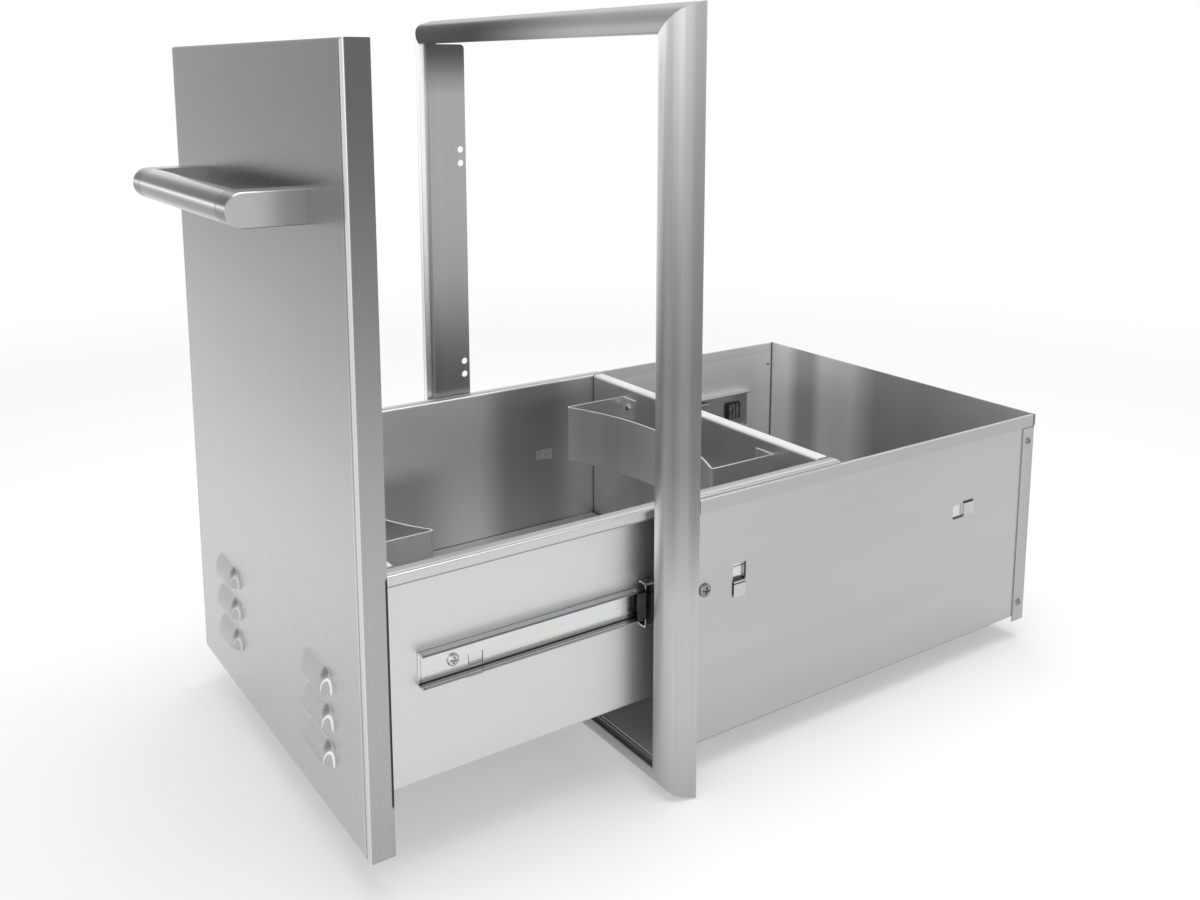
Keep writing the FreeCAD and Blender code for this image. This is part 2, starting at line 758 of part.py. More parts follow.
def ball_rows(rail_height, track_height):
    """Ball radius, and heights of the upper and lower row, between a rail and the track round it."""
    room = (track_height - 2 * size.slide_sheet - rail_height) / 2
    radius = room / 2 - size.ball_clearance
    offset = rail_height / 2 + room / 2
    return radius, (size.slide_height + offset, size.slide_height - offset)


def ball_places(middle, length):
    pitch = length / BALLS_PER_ROW
    first = middle - length / 2 + pitch / 2
    return [first + pitch * number for number in range(BALLS_PER_ROW)]


def ball_pockets(side, distance, radius, places):
    """Pockets in a cage's strips, one for each ball."""
    half = radius + size.pocket_clearance
    across = span(side, distance - half, distance + half)
    return [rectangle(*across, y - half, y + half) for y in places]


outer_ball_distance = case_inner - size.cabinet_rail_width / 2 - size.slide_sheet / 2
inner_ball_distance = box_half + size.drawer_rail_width / 2 + size.slide_sheet / 2


def make_outer_cage(side):
    """Two pierced strips that space the balls between the fixed and the travelling rail."""
    piece = Piece(f"{SIDE_NAMES[side]}_outer_ball_cage", several=True)
    radius, heights = ball_rows(size.middle_rail_height, size.cabinet_rail_height)
    half = size.outer_cage_length / 2
    across = span(side, outer_ball_distance - size.outer_cage_width / 2,
                  outer_ball_distance + size.outer_cage_width / 2)
    strip = rectangle(*across, size.outer_cage_middle - half, size.outer_cage_middle + half)
    places = ball_places(size.outer_cage_middle, size.outer_cage_length)
    pockets = ball_pockets(side, outer_ball_distance, radius, places)
    thick = radius + size.ball_clearance - size.cage_track_gap
    for height in heights:
        piece.pad("XY", height - thick, height + thick, strip, *pockets)


def make_inner_cage(side):
    """Pierced channel that spaces the balls between the travelling rail and the drawer's rail."""
    piece = Piece(f"{SIDE_NAMES[side]}_inner_ball_cage")
    radius, heights = ball_rows(size.drawer_rail_height, size.middle_rail_height)
    inner_face = middle_web - size.slide_sheet
    rail_lips = box_half + size.drawer_rail_width
    web_middle = (inner_face + rail_lips) / 2
    web_far = web_middle + size.cage_web / 2
    web_near = web_middle - size.cage_web / 2
    lips = web_far - size.inner_cage_width
    top = heights[0] + size.cage_sheet / 2
    low = heights[1] - size.cage_sheet / 2
    outline = [
        (side * web_far, top),
        (side * lips, top),
        (side * lips, top - size.cage_sheet),
        (side * web_near, top - size.cage_sheet),
        (side * web_near, low + size.cage_sheet),
        (side * lips, low + size.cage_sheet),
        (side * lips, low),
        (side * web_far, low),
    ]
    half = size.inner_cage_length / 2
    piece.pad("XZ", size.inner_cage_middle - half, size.inner_cage_middle + half, outline)
    places = ball_places(size.inner_cage_middle, size.inner_cage_length)
    piece.cut("XY", low, top, *ball_pockets(side, inner_ball_distance, radius, places))


def rim_outline(across, wall_face, outward, low):
    """Wall with a folded rim, as points of (across, height); across turns a distance into a sketch value."""
    sheet = size.box_sheet
    top = size.box_top
    far = wall_face + outward * rim_width
    return [
        (across(wall_face), low),
        (across(wall_face), top),
        (across(far), top),
        (across(far), top - size.rim_lip),
        (across(far - outward * sheet), top - size.rim_lip),
        (across(far - outward * sheet), top - sheet),
        (across(wall_face + outward * sheet), top - sheet),
        (across(wall_face + outward * sheet), low),
    ]


def make_box_side(side):
    piece = Piece(f"drawer_{SIDE_NAMES[side]}_wall")
    low = size.box_bottom
    wall = rim_outline(lambda distance: side * distance, box_inner, 1, low)
    foot = [
        (side * (box_inner - size.box_foot), low),
        (side * (box_inner - size.box_foot), low + size.box_sheet),
        (side * box_inner, low + size.box_sheet),
    ]
    outline = foot + wall[1:]
    piece.pad("XZ", door_back, box_rear, outline)
    piece.bend(size.bend_round, "XZ", wall[1], wall[2], wall[7])
    slots = hook_slots(
        drawer_rail_start, size.drawer_front_hook, size.drawer_rear_hook, 1, size.drawer_slot_drop,
        size.drawer_hook_length,
    )
    screw_y = drawer_rail_start + size.drawer_screw_place
    hole = circle(screw_y, size.slide_height, screw_hole)
    piece.cut("YZ", *span(side, box_inner, box_half), *slots, hole)


def make_box_ends():
    """Front and rear wall of the drawer; both rims fold away from the door."""
    low = size.box_bottom + size.box_sheet
    rear = Piece("drawer_rear_wall")
    outline = rim_outline(lambda distance: distance, rear_wall_face, 1, low)
    rear.pad("YZ", -box_inner, box_inner, outline)
    rear.bend(size.bend_round, "YZ", outline[1], outline[2])
    holes = bracket_screw_holes(size.rear_bracket_width)
    rear.cut("XZ", rear_wall_face, rear_wall_face + size.box_sheet, *holes)

    front = Piece("drawer_front_wall")
    outline = rim_outline(lambda distance: distance, door_back, 1, low)
    front.pad("YZ", -box_inner, box_inner, outline)
    front.bend(size.bend_round, "YZ", outline[2])
    holes = bracket_screw_holes(size.front_bracket_width)
    front.cut("XZ", door_back, front_wall_face, *holes, *vent_windows(low + size.box_foot))


def make_box_floor():
    """Tray that stands upside down on the walls' feet."""
    piece = Piece("drawer_floor")
    half = box_inner - size.floor_clearance
    sheet = size.box_sheet
    low = size.box_bottom + sheet
    high = low + size.floor_rise
    piece.pad("XY", low, high, rectangle(-half, half, front_wall_face, rear_wall_face))
    room = rectangle(-half + sheet, half - sheet, front_wall_face + sheet, rear_wall_face - sheet)
    piece.cut("XY", low, high - sheet, room)


def bracket_screw_holes(width):
    offset = width / 2 - size.bracket_ear / 2
    height = bracket_top - size.bracket_screw_drop
    return [circle(side * offset, height, screw_hole) for side in (LEFT, RIGHT)]


def vent_windows(lowest):
    """Window behind each group of louvres."""
    half = size.louvre_length / 2 + size.vent_margin
    top = size.louvre_lowest + size.louvre_pitch * (LOUVRE_ROWS - 1) + size.louvre_hood + size.vent_margin
    return [
        rectangle(side * size.louvre_offset - half, side * size.louvre_offset + half, lowest, top)
        for side in (LEFT, RIGHT)
    ]


def make_bracket(name, wall_face, sense, width, reach, hollow):
    """Curved cradle for the tank; sense is -1 where it stands in front of its wall and 1 behind."""
    piece = Piece(name)
    sheet = size.bracket_sheet
    half = width / 2
    corner = wall_face + sense * reach
    radius = (half * half + hollow * hollow) / (2 * hollow)
    centre = corner - sense * hollow + sense * radius
    outer_radius = radius + sheet
    inner_half = half - sheet
    inner_end = centre - sense * square_root(outer_radius * outer_radius - inner_half * inner_half)
    ear = half - size.bracket_ear
    ear_face = wall_face + sense * sheet
    outline = [
        (-half, corner, radius, sense),
        (half, corner),
        (half, wall_face),
        (ear, wall_face),
        (ear, ear_face),
        (inner_half, ear_face),
        (inner_half, inner_end, outer_radius, -sense),
        (-inner_half, inner_end),
        (-inner_half, ear_face),
        (-ear, ear_face),
        (-ear, wall_face),
        (-half, wall_face),
    ]
    piece.pad("XY", bracket_bottom, bracket_top, outline)
    piece.bend(size.bracket_bend - sheet, "XY", outline[6][:2], outline[7])
    piece.bend(size.bracket_bend, "XY", outline[0][:2], outline[1])
    levels = (wall_face, ear_face) if sense > 0 else (ear_face, wall_face)
    piece.cut("XZ", *levels, *bracket_screw_holes(width))


def make_drawer_screws():
    place = (drawer_rail_start + size.drawer_screw_place, size.slide_height)
    screws = []
    for side in (LEFT, RIGHT):
        face = box_half + size.slide_sheet
        screws.append((side * face, side * (face + size.screw_head_height), side * box_inner))
    make_screws("drawer_rail_screws", place, screws)


def louvre_corners(inset):
    """Half section of a louvre's hood along its length, drawn from its centre line."""
    far = size.louvre_length / 2 - inset
    flat = size.louvre_length / 2 - size.louvre_end
    crown = size.louvre_hood - inset
    foot = size.louvre_axis_depth - inset
    return [(-far, 0), (far, 0), (far, foot), (flat, crown), (-flat, crown), (-far, foot)]


def louvre_hood():
    """Outside of a louvre, with rounded ends."""
    corners = louvre_corners(0)
    rise = size.louvre_hood - size.louvre_axis_depth
    radius = (size.louvre_end * size.louvre_end + rise * rise) / (2 * rise)
    for rounded in (2, 4):
        corners[rounded] = (*corners[rounded], radius, 1)
    return corners


def make_door_panel():
    """Folded door pan with pressed louvres, open at the back."""
    piece = Piece("door_panel")
    half = door_half
    piece.pad("XZ", door_front, door_back, rectangle(-half, half, door_bottom, door_top))
    front = door_front.value

    def is_front_edge(edge):
        return abs(edge.BoundBox.YMin - front) < TOLERANCE and abs(edge.BoundBox.YMax - front) < TOLERANCE

    piece.soften(size.door_round, is_front_edge)
    hinge_line = door_front + size.louvre_axis_depth
    for side in (LEFT, RIGHT):
        for row in range(LOUVRE_ROWS):
            place = (side * size.louvre_offset, size.louvre_lowest + size.louvre_pitch * row)
            piece.turn("Revolution", "XZ", hinge_line, place, louvre_hood(), 90)
            piece.turn("Groove", "XZ", hinge_line, place, louvre_corners(size.door_sheet), 90)
    sheet = size.door_sheet
    room = rectangle(-half + sheet, half - sheet, door_bottom + sheet, door_top - sheet)
    piece.cut("XZ", door_front + sheet, door_back, room)


def make_door_liner():
    """Tray that closes the back of the door."""
    piece = Piece("door_liner")
    sheet = size.door_sheet
    inset = sheet + size.floor_clearance
    half = door_half - inset
    low = door_bottom + inset
    high = door_top - inset
    piece.pad("XZ", door_back - size.liner_depth, door_back, rectangle(-half, half, low, high))
    room = rectangle(-half + sheet, half - sheet, low + sheet, high - sheet)
    piece.cut("XZ", door_back - size.liner_depth, door_back - sheet, room)
    lowest = size.box_bottom + size.box_sheet + size.box_foot
    piece.cut("XZ", door_back - sheet, door_back, *vent_windows(lowest))


def make_handle():
    """Tubular bar between two arms with full round ends."""
    radius = size.handle_diameter / 2
    axis_y = door_front - size.handle_reach
    inner = size.handle_length / 2 - size.handle_arm
    bar = Piece("handle_bar")
    outside = circle(axis_y, size.handle_height, radius)
    inside = circle(axis_y, size.handle_height, radius - size.handle_tube_wall)
    bar.pad("YZ", -inner, inner, outside, inside)
    for side in (LEFT, RIGHT):
        arm = Piece(f"handle_{SIDE_NAMES[side]}_arm")
        levels = span(side, inner, size.handle_length / 2)
        low = size.handle_height - radius
        high = size.handle_height + radius
        arm.pad("YZ", *levels, rectangle(axis_y, door_front, low, high))
        arm.pad("YZ", *levels, outside)
        outer_x = (side * size.handle_length / 2).value
        door_y = door_front.value

        def is_outer_edge(edge):
            box = edge.BoundBox
            flat = abs(box.XMin - outer_x) < TOLERANCE and abs(box.XMax - outer_x) < TOLERANCE
            return flat and box.YMin < door_y - TOLERANCE

        arm.soften(size.handle_edge, is_outer_edge, "Chamfer")


def make_everything():
    make_rail("frame_top_rail", 1)
    make_rail("frame_bottom_rail", -1)
    make_bottom_flange()
    for side in (LEFT, RIGHT):
        make_stile(side)
        make_mounting_flange(side)
        make_case_wall(side)
        make_slide(side)
        make_bumper(side)
        make_outer_cage(side)
        make_inner_cage(side)
        make_box_side(side)
    make_case_floor()
    make_back_panel()
    make_case_screws()
    make_box_ends()
    make_box_floor()
    make_bracket(
        "front_tank_bracket", front_wall_face, 1, size.front_bracket_width, size.front_bracket_reach,
        size.front_bracket_hollow,
    )
    make_bracket(
        "rear_tank_bracket", rear_wall_face, -1, size.rear_bracket_width, size.rear_bracket_reach,
        size.rear_bracket_hollow,
    )
    make_drawer_screws()
    make_door_panel()
    make_door_liner()
    make_handle()


def check_and_write():
    """Stop if anything failed, then write one file for each sub-part."""
    doc.recompute()
    for thing in doc.Objects:
        if "Invalid" in thing.State or "Error" in thing.State:
            raise RuntimeError(f"{thing.Name} failed: {thing.State}")
    for name, thing in nodes.items():
        if thing.Shape.isNull() or not thing.Shape.isValid():
            raise RuntimeError(f"{name} has no valid shape")
    os.makedirs("parts", exist_ok=True)
    for name, thing in nodes.items():
        thing.Shape.exportStep(os.path.join("parts", f"{name}.step"))
    print(f"{len(nodes)} sub-parts written")


make_everything()
check_and_write()
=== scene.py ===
"""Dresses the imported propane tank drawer: brushed steel, zinc slides, small fasteners, stage and camera.

Axes are the frame's own: X to the right, Y into the island, Z up. Materials, lights and camera are placed in metres.
Meshes are drawn in millimetres, and settle() brings them to metres.
"""

import math

import bmesh
import bpy
from mathutils import Matrix, Vector


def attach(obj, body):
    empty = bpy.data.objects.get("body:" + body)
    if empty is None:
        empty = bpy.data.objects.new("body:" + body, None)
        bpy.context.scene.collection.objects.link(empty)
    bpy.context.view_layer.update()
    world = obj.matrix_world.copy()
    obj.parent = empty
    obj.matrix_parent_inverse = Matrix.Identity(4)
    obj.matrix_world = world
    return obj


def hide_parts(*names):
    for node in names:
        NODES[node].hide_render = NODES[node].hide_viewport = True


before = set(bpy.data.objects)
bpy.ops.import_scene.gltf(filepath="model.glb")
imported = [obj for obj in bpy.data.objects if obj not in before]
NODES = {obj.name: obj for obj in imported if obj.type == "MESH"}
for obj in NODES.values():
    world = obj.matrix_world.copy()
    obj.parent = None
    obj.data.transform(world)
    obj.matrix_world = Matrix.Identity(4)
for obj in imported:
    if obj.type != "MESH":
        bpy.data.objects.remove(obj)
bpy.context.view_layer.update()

bl_info = {
    "name": "Propane tank drawer",
    "version": (1, 0, 0),
    "blender": (4, 5, 0),
    "location": "3D View > Sidebar > Tank drawer",
    "description": "Dresses the packed tank drawer in steel and sets its stage",
    "category": "Object",
}


class Value:
    """A shader socket that takes part in Python arithmetic."""

    def __init__(self, shader, socket):
        self.shader = shader
        self.socket = socket

    def __add__(self, other):
        return self.shader.math("ADD", self, other)

    def __radd__(self, other):
        return self.shader.math("ADD", other, self)

    def __sub__(self, other):
        return self.shader.math("SUBTRACT", self, other)

    def __rsub__(self, other):
        return self.shader.math("SUBTRACT", other, self)

    def __mul__(self, other):
        return self.shader.math("MULTIPLY", self, other)

    def __rmul__(self, other):
        return self.shader.math("MULTIPLY", other, self)

    def __truediv__(self, other):
        return self.shader.math("DIVIDE", self, other)

    def __rtruediv__(self, other):
        return self.shader.math("DIVIDE", other, self)


class Shader:
    """Node tree of one material or of the world."""

    # Sockets of a Mix node that mixes colours
    MIX_FACTOR, MIX_FIRST, MIX_SECOND, MIX_RESULT = 0, 6, 7, 2

    def __init__(self, owner):
        owner.use_nodes = True
        self.tree = owner.node_tree
        self.tree.nodes.clear()

    def node(self, kind, settings=None, output=0, sockets=None, **named):
        """Add a node: its settings first, then the values or links of its sockets, by number or by name."""
        made = self.tree.nodes.new(kind)
        for name, setting in (settings or {}).items():
            if name == "stops":
                ramp = made.color_ramp
                present = len(ramp.elements)
                for place, (position, colour) in enumerate(setting):
                    stop = ramp.elements[place] if place < present else ramp.elements.new(position)
                    stop.position = position
                    stop.color = colour
            else:
                setattr(made, name, setting)
        chosen = dict(sockets or {})
        chosen.update({name.replace("_", " "): given for name, given in named.items()})
        for key, given in chosen.items():
            if isinstance(given, Value):
                self.tree.links.new(given.socket, made.inputs[key])
            else:
                made.inputs[key].default_value = given
        return Value(self, made.outputs[output]) if made.outputs else None

    def math(self, operation, *values):
        """Add a Math node."""
        return self.node("ShaderNodeMath", {"operation": operation}, sockets=dict(enumerate(values)))

    def vector(self, operation, *values):
        """Add a Vector Math node."""
        return self.node("ShaderNodeVectorMath", {"operation": operation}, sockets=dict(enumerate(values)))

    def blend(self, factor, first, second, mode="MIX"):
        """Mix two colours."""
        settings = {"data_type": "RGBA", "blend_type": mode}
        sockets = {self.MIX_FACTOR: factor, self.MIX_FIRST: first, self.MIX_SECOND: second}
        return self.node("ShaderNodeMix", settings, self.MIX_RESULT, sockets)

    def multiply(self, first, second):
        """Multiply two colours."""
        return self.blend(1.0, first, second, "MULTIPLY")

    def place(self):
        """Point on the piece, in metres."""
        return self.node("ShaderNodeTexCoord", output="Object")

    def noise(self, scales, detail=2.0, rough=0.5, shift=(0.0, 0.0, 0.0)):
        """Noise with its own scale along each axis."""
        point = self.vector("MULTIPLY", self.vector("ADD", self.place(), shift), scales)
        return self.node("ShaderNodeTexNoise", Vector=point, Scale=1.0, Detail=detail, Roughness=rough)

    def between(self, value, low, high, start=0.0, end=1.0, curve="SMOOTHSTEP"):
        """Map a range onto another, held at its ends."""
        return self.node(
            "ShaderNodeMapRange", {"interpolation_type": curve}, Value=value, From_Min=low, From_Max=high,
            To_Min=start, To_Max=end,
        )


# Steel's greys are a trace warm
WARMTH = 0.003
# A ramp's colours end at 1, so a band's factors are kept in it as shares of this
BRIGHTEST = 4.0


def neutral(level):
    """Pure grey."""
    return (level, level, level, 1.0)


def grey(level):
    """Grey of steel or plastic."""
    return (level * (1 + WARMTH), level, level * (1 - WARMTH), 1.0)


def start_material(name):
    """A new material, and its empty node tree."""
    material = bpy.data.materials.new(name)
    return material, Shader(material)


def close(shader, **sockets):
    """Join a principled surface to the material's output."""
    surface = shader.node("ShaderNodeBsdfPrincipled", **sockets)
    shader.node("ShaderNodeOutputMaterial", Surface=surface)


def distance_along(shader, axis):
    """Coordinate along an axis, or its distance from the middle for an axis written as |X|."""
    value = shader.node("ShaderNodeSeparateXYZ", output="XYZ".index(axis.strip("|")), Vector=shader.place())
    return shader.math("ABSOLUTE", value) if axis.startswith("|") else value


def dim(shader, colour, amount, factor):
    """Multiply a colour by a factor where the amount is 1."""
    return shader.blend(amount, colour, shader.multiply(colour, neutral(factor)))


def shade_over(shader, colour, shades):
    """Darken or lighten a colour along the piece.

    A shade is (axis, start, end, factor): no change before its start, its factor from its end on. A band is
    (axis, start, end, list of (share of the way, factor)).
    """
    for axis, start, end, factor in shades:
        along = distance_along(shader, axis)
        if isinstance(factor, list):
            share = shader.between(along, start, end, curve="LINEAR")
            stops = [(place, neutral(level / BRIGHTEST)) for place, level in factor]
            ramp = shader.node("ShaderNodeValToRGB", {"stops": stops}, Fac=share)
            colour = shader.multiply(colour, shader.multiply(ramp, neutral(BRIGHTEST)))
        else:
            colour = dim(shader, colour, shader.between(along, start, end), factor)
    return colour


def within(shader, axis, low, high, soft=0.0001):
    """1 between two places along an axis, 0 outside them."""
    along = distance_along(shader, axis)
    return shader.between(along, low - soft, low + soft) * shader.between(along, high + soft, high - soft)


def brushed_steel(name, grain, tone, rough=0.32, contrast=1.0, shades=(), bands=0.0, paint=None):
    """Brushed sheet steel.

    Grain names the axes that the brush marks run along. Rough is a number, or a function that makes a socket of it.
    Bands is the strength of broad dark clouds, painted soft reflections. Paint is a function that changes the colour
    last.
    """
    material, shader = start_material(name)

    def scales(across, along):
        return [along if axis in grain else across for axis in "XYZ"]

    # Marks of the brush, in waves per metre across and along them
    hair = shader.noise(scales(2600.0, 4.0), detail=3.0, rough=0.65)
    streak = shader.noise(scales(330.0, 1.2))
    light = shader.between(hair, 0.3, 0.7)
    colour = shader.blend(light, grey(tone * (1 - 0.11 * contrast)), grey(tone * (1 + 0.09 * contrast)))
    patch = shader.between(streak, 0.3, 0.7, 0.0, 0.6 * contrast)
    colour = shader.blend(patch, colour, grey(tone * 0.94))
    if bands:
        # Broad dark clouds, painted as soft blurred reflections
        cloud = shader.noise(scales(16.0, 2.2), detail=1.5, shift=(0.31, 0.17, 0.05))
        dark = shader.between(cloud, 0.36, 0.62, 0.0, bands)
        colour = shader.blend(dark, colour, grey(tone * 0.55))
    colour = shade_over(shader, colour, shades)
    if paint:
        colour = paint(shader, colour)
    base = rough(shader) if callable(rough) else rough
    roughness = shader.between(hair, 0.25, 0.75, -0.04 * contrast, 0.06 * contrast) + base
    height = hair * 0.7 + streak * 0.3
    normal = shader.node("ShaderNodeBump", Strength=0.08 * contrast, Distance=0.0001, Height=height)
    close(shader, Base_Color=colour, Metallic=1.0, Roughness=roughness, Normal=normal)
    return material


def zinc_plate(name, tone, shades=(), paint=None):
    """Bright zinc plating with a faint yellow and blue play of colour."""
    material, shader = start_material(name)
    cloud = shader.noise((30.0, 9.0, 30.0))
    fine = shader.noise((700.0, 25.0, 700.0))
    yellow = (tone, tone * 0.99, tone * 0.955, 1.0)
    blue = (tone * 0.95, tone * 0.985, tone * 1.01, 1.0)
    colour = shader.blend(shader.between(cloud, 0.4, 0.6), yellow, blue)
    colour = shader.blend(shader.between(fine, 0.3, 0.7, 0.0, 0.3), colour, grey(tone * 0.92))
    colour = shade_over(shader, colour, shades)
    if paint:
        colour = paint(shader, colour)
    roughness = shader.between(fine, 0.3, 0.7, 0.16, 0.26)
    normal = shader.node("ShaderNodeBump", Strength=0.012, Distance=0.0001, Height=fine)
    close(shader, Base_Color=colour, Metallic=1.0, Roughness=roughness, Normal=normal)
    return material


def moulded_plastic(name, tone, shades=()):
    """Black moulded plastic with a fine spark texture."""
    material, shader = start_material(name)
    fine = shader.noise((2200.0, 2200.0, 2200.0))
    wear = shader.noise((160.0, 160.0, 160.0), detail=3.0)
    colour = shader.blend(shader.between(wear, 0.4, 0.7), grey(tone), grey(tone * 2.2))
    colour = shade_over(shader, colour, shades)
    roughness = shader.between(wear, 0.3, 0.7, 0.38, 0.55)
    normal = shader.node("ShaderNodeBump", Strength=0.25, Distance=0.0001, Height=fine)
    close(shader, Base_Color=colour, Roughness=roughness, Normal=normal)
    return material


def polished_steel(name, tone):
    """Ground steel of balls and screw heads, with fine handling marks."""
    material, shader = start_material(name)
    marks = shader.noise((900.0, 900.0, 900.0), detail=3.0)
    colour = shader.blend(shader.between(marks, 0.35, 0.7), grey(tone), grey(tone * 0.8))
    roughness = shader.between(marks, 0.3, 0.7, 0.16, 0.3)
    close(shader, Base_Color=colour, Metallic=1.0, Roughness=roughness)
    return material


MM = 0.001
# Edges that turn by this or more stay sharp
SHARP = math.radians(32)


def settle(bm, name, material, body, replaced=()):
    """Turn a mesh in millimetres into a piece that rides on a body."""
    bmesh.ops.scale(bm, vec=(MM, MM, MM), verts=bm.verts)
    bmesh.ops.recalc_face_normals(bm, faces=bm.faces)
    for face in bm.faces:
        face.smooth = True
    for edge in bm.edges:
        edge.smooth = len(edge.link_faces) == 2 and edge.calc_face_angle() < SHARP
    mesh = bpy.data.meshes.new(name)
    bm.to_mesh(mesh)
    bm.free()
    mesh.materials.append(material)
    piece = bpy.data.objects.new(name, mesh)
    bpy.context.scene.collection.objects.link(piece)
    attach(piece, body)
    if replaced:
        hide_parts(*replaced)


def add_ring(bm, centre, across, up, radius, count):
    """Ring of vertices round a centre."""
    return [
        bm.verts.new(centre + radius * (math.cos(turn) * across + math.sin(turn) * up))
        for turn in (2 * math.pi * step / count for step in range(count))
    ]


def join_rings(bm, first, second):
    """Faces between two rings of as many vertices."""
    count = len(first)
    for step in range(count):
        after = (step + 1) % count
        bm.faces.new((first[step], first[after], second[after], second[step]))


HEAD_SEGMENTS = 64
HEAD_RINGS = 22
# A head's dome falls by this share of its height at the rim, along a curve of this power
DOME_FALL, DOME_POWER = 0.62, 4.5
# Arms of the cross recess, in shares of the head's radius, and its depth as a share of the head's height
ARM_REACH, ARM_END_SLOPE = 0.6, 0.12
ARM_HALF_WIDTH, ARM_SIDE_SLOPE = 0.15, 0.07
RECESS_DEPTH = 0.6
SHANK_TAPER = 0.8


def recess_depth(x, y):
    """Depth of the recess at a point of a head whose radius and height are 1."""
    deepest = 0.0
    for along, across in ((x, y), (y, x)):
        end = (ARM_REACH - abs(along)) / ARM_END_SLOPE
        side = (ARM_HALF_WIDTH - abs(across)) / ARM_SIDE_SLOPE
        deepest = max(deepest, min(end, side, 1.0))
    return RECESS_DEPTH * deepest


def add_screw(bm, foot, outward, radius, turn, height, shank_radius, shank_length):
    """Pan head screw with a cross recess, turned about its axis; foot is the middle of the head's underside."""
    foot = Vector(foot)
    outward = Vector(outward)
    across = Matrix.Rotation(turn, 3, outward) @ outward.orthogonal().normalized()
    up = outward.cross(across)
    crown = bm.verts.new(foot + outward * height * (1 - recess_depth(0, 0)))
    rings = []
    for step in range(1, HEAD_RINGS + 1):
        share = step / HEAD_RINGS
        dome = 1 - DOME_FALL * share ** DOME_POWER
        ring = []
        for number in range(HEAD_SEGMENTS):
            angle = 2 * math.pi * number / HEAD_SEGMENTS
            level = dome - recess_depth(share * math.cos(angle), share * math.sin(angle))
            spoke = math.cos(angle) * across + math.sin(angle) * up
            ring.append(bm.verts.new(foot + outward * height * level + spoke * radius * share))
        rings.append(ring)
    rings.append(add_ring(bm, foot, across, up, radius, HEAD_SEGMENTS))
    for first, second in zip(rings, rings[1:]):
        join_rings(bm, first, second)
    for number in range(HEAD_SEGMENTS):
        bm.faces.new((crown, rings[0][number], rings[0][(number + 1) % HEAD_SEGMENTS]))
    neck = add_ring(bm, foot, across, up, shank_radius, HEAD_SEGMENTS)
    tip = add_ring(bm, foot - outward * shank_length, across, up, shank_radius * SHANK_TAPER, HEAD_SEGMENTS)
    join_rings(bm, rings[-1], neck)
    join_rings(bm, neck, tip)
    bm.faces.new(tip)


def smooth_path(points, steps=6):
    """Points on a smooth line through the given ones, in steps between each two."""
    padded = [points[0], *points, points[-1]]
    path = []
    for before, start, end, after in zip(padded, padded[1:], padded[2:], padded[3:]):
        for step in range(steps):
            t = step / steps
            path.append(tuple(
                0.5 * (2 * b + (c - a) * t + (2 * a - 5 * b + 4 * c - d) * t * t + (3 * b - a - 3 * c + d) * t ** 3)
                for a, b, c, d in zip(before, start, end, after)
            ))
    path.append(points[-1])
    return path


def sheet_outline(path, thickness):
    """Both faces of a bent sheet whose middle follows a path."""
    near, far = [], []
    for place, point in enumerate(path):
        ahead = path[min(place + 1, len(path) - 1)]
        behind = path[max(place - 1, 0)]
        run = Vector((ahead[0] - behind[0], ahead[1] - behind[1])).normalized() * thickness / 2
        near.append((point[0] - run.y, point[1] + run.x))
        far.append((point[0] + run.y, point[1] - run.x))
    return near, far


def add_bent_sheet(bm, path, thickness, place, start, end):
    """Extrude a bent sheet from one end to the other; place turns (a, b, length) into a point."""
    near, far = sheet_outline(path, thickness)
    (near_start, far_start), (near_end, far_end) = (
        [[bm.verts.new(place(a, b, length)) for a, b in edge] for edge in (near, far)] for length in (start, end)
    )
    for n in range(len(path) - 1):
        bm.faces.new((near_start[n], near_start[n + 1], near_end[n + 1], near_end[n]))
        bm.faces.new((far_start[n + 1], far_start[n], far_end[n], far_end[n + 1]))
        bm.faces.new((near_start[n + 1], near_start[n], far_start[n], far_start[n + 1]))
        bm.faces.new((near_end[n], near_end[n + 1], far_end[n + 1], far_end[n]))
    for n in (0, len(path) - 1):
        bm.faces.new((near_start[n], near_end[n], far_end[n], far_start[n]))


class SteelSettings(bpy.types.PropertyGroup):
    door_tone: bpy.props.FloatProperty(
        name="Door tone", description="Lightness of the door's brushed steel", default=0.53, min=0.0, max=1.0,
        subtype="FACTOR",
    )
    trim_tone: bpy.props.FloatProperty(
        name="Trim tone", description="Lightness of the trim frame's steel", default=0.48, min=0.0, max=1.0,
        subtype="FACTOR",
    )
    case_tone: bpy.props.FloatProperty(
        name="Case tone", description="Lightness of the case's steel", default=0.5, min=0.0, max=1.0,
        subtype="FACTOR",
    )
    drawer_tone: bpy.props.FloatProperty(
        name="Drawer tone", description="Lightness of the drawer box's steel", default=0.65, min=0.0, max=1.0,
        subtype="FACTOR",
    )
    zinc_tone: bpy.props.FloatProperty(
        name="Zinc tone", description="Lightness of the slides' zinc plate", default=0.68, min=0.0, max=1.0,
        subtype="FACTOR",
    )
    plastic_tone: bpy.props.FloatProperty(
        name="Plastic tone", description="Lightness of the slides' black plastic", default=0.02, min=0.0, max=1.0,
        subtype="FACTOR",
    )


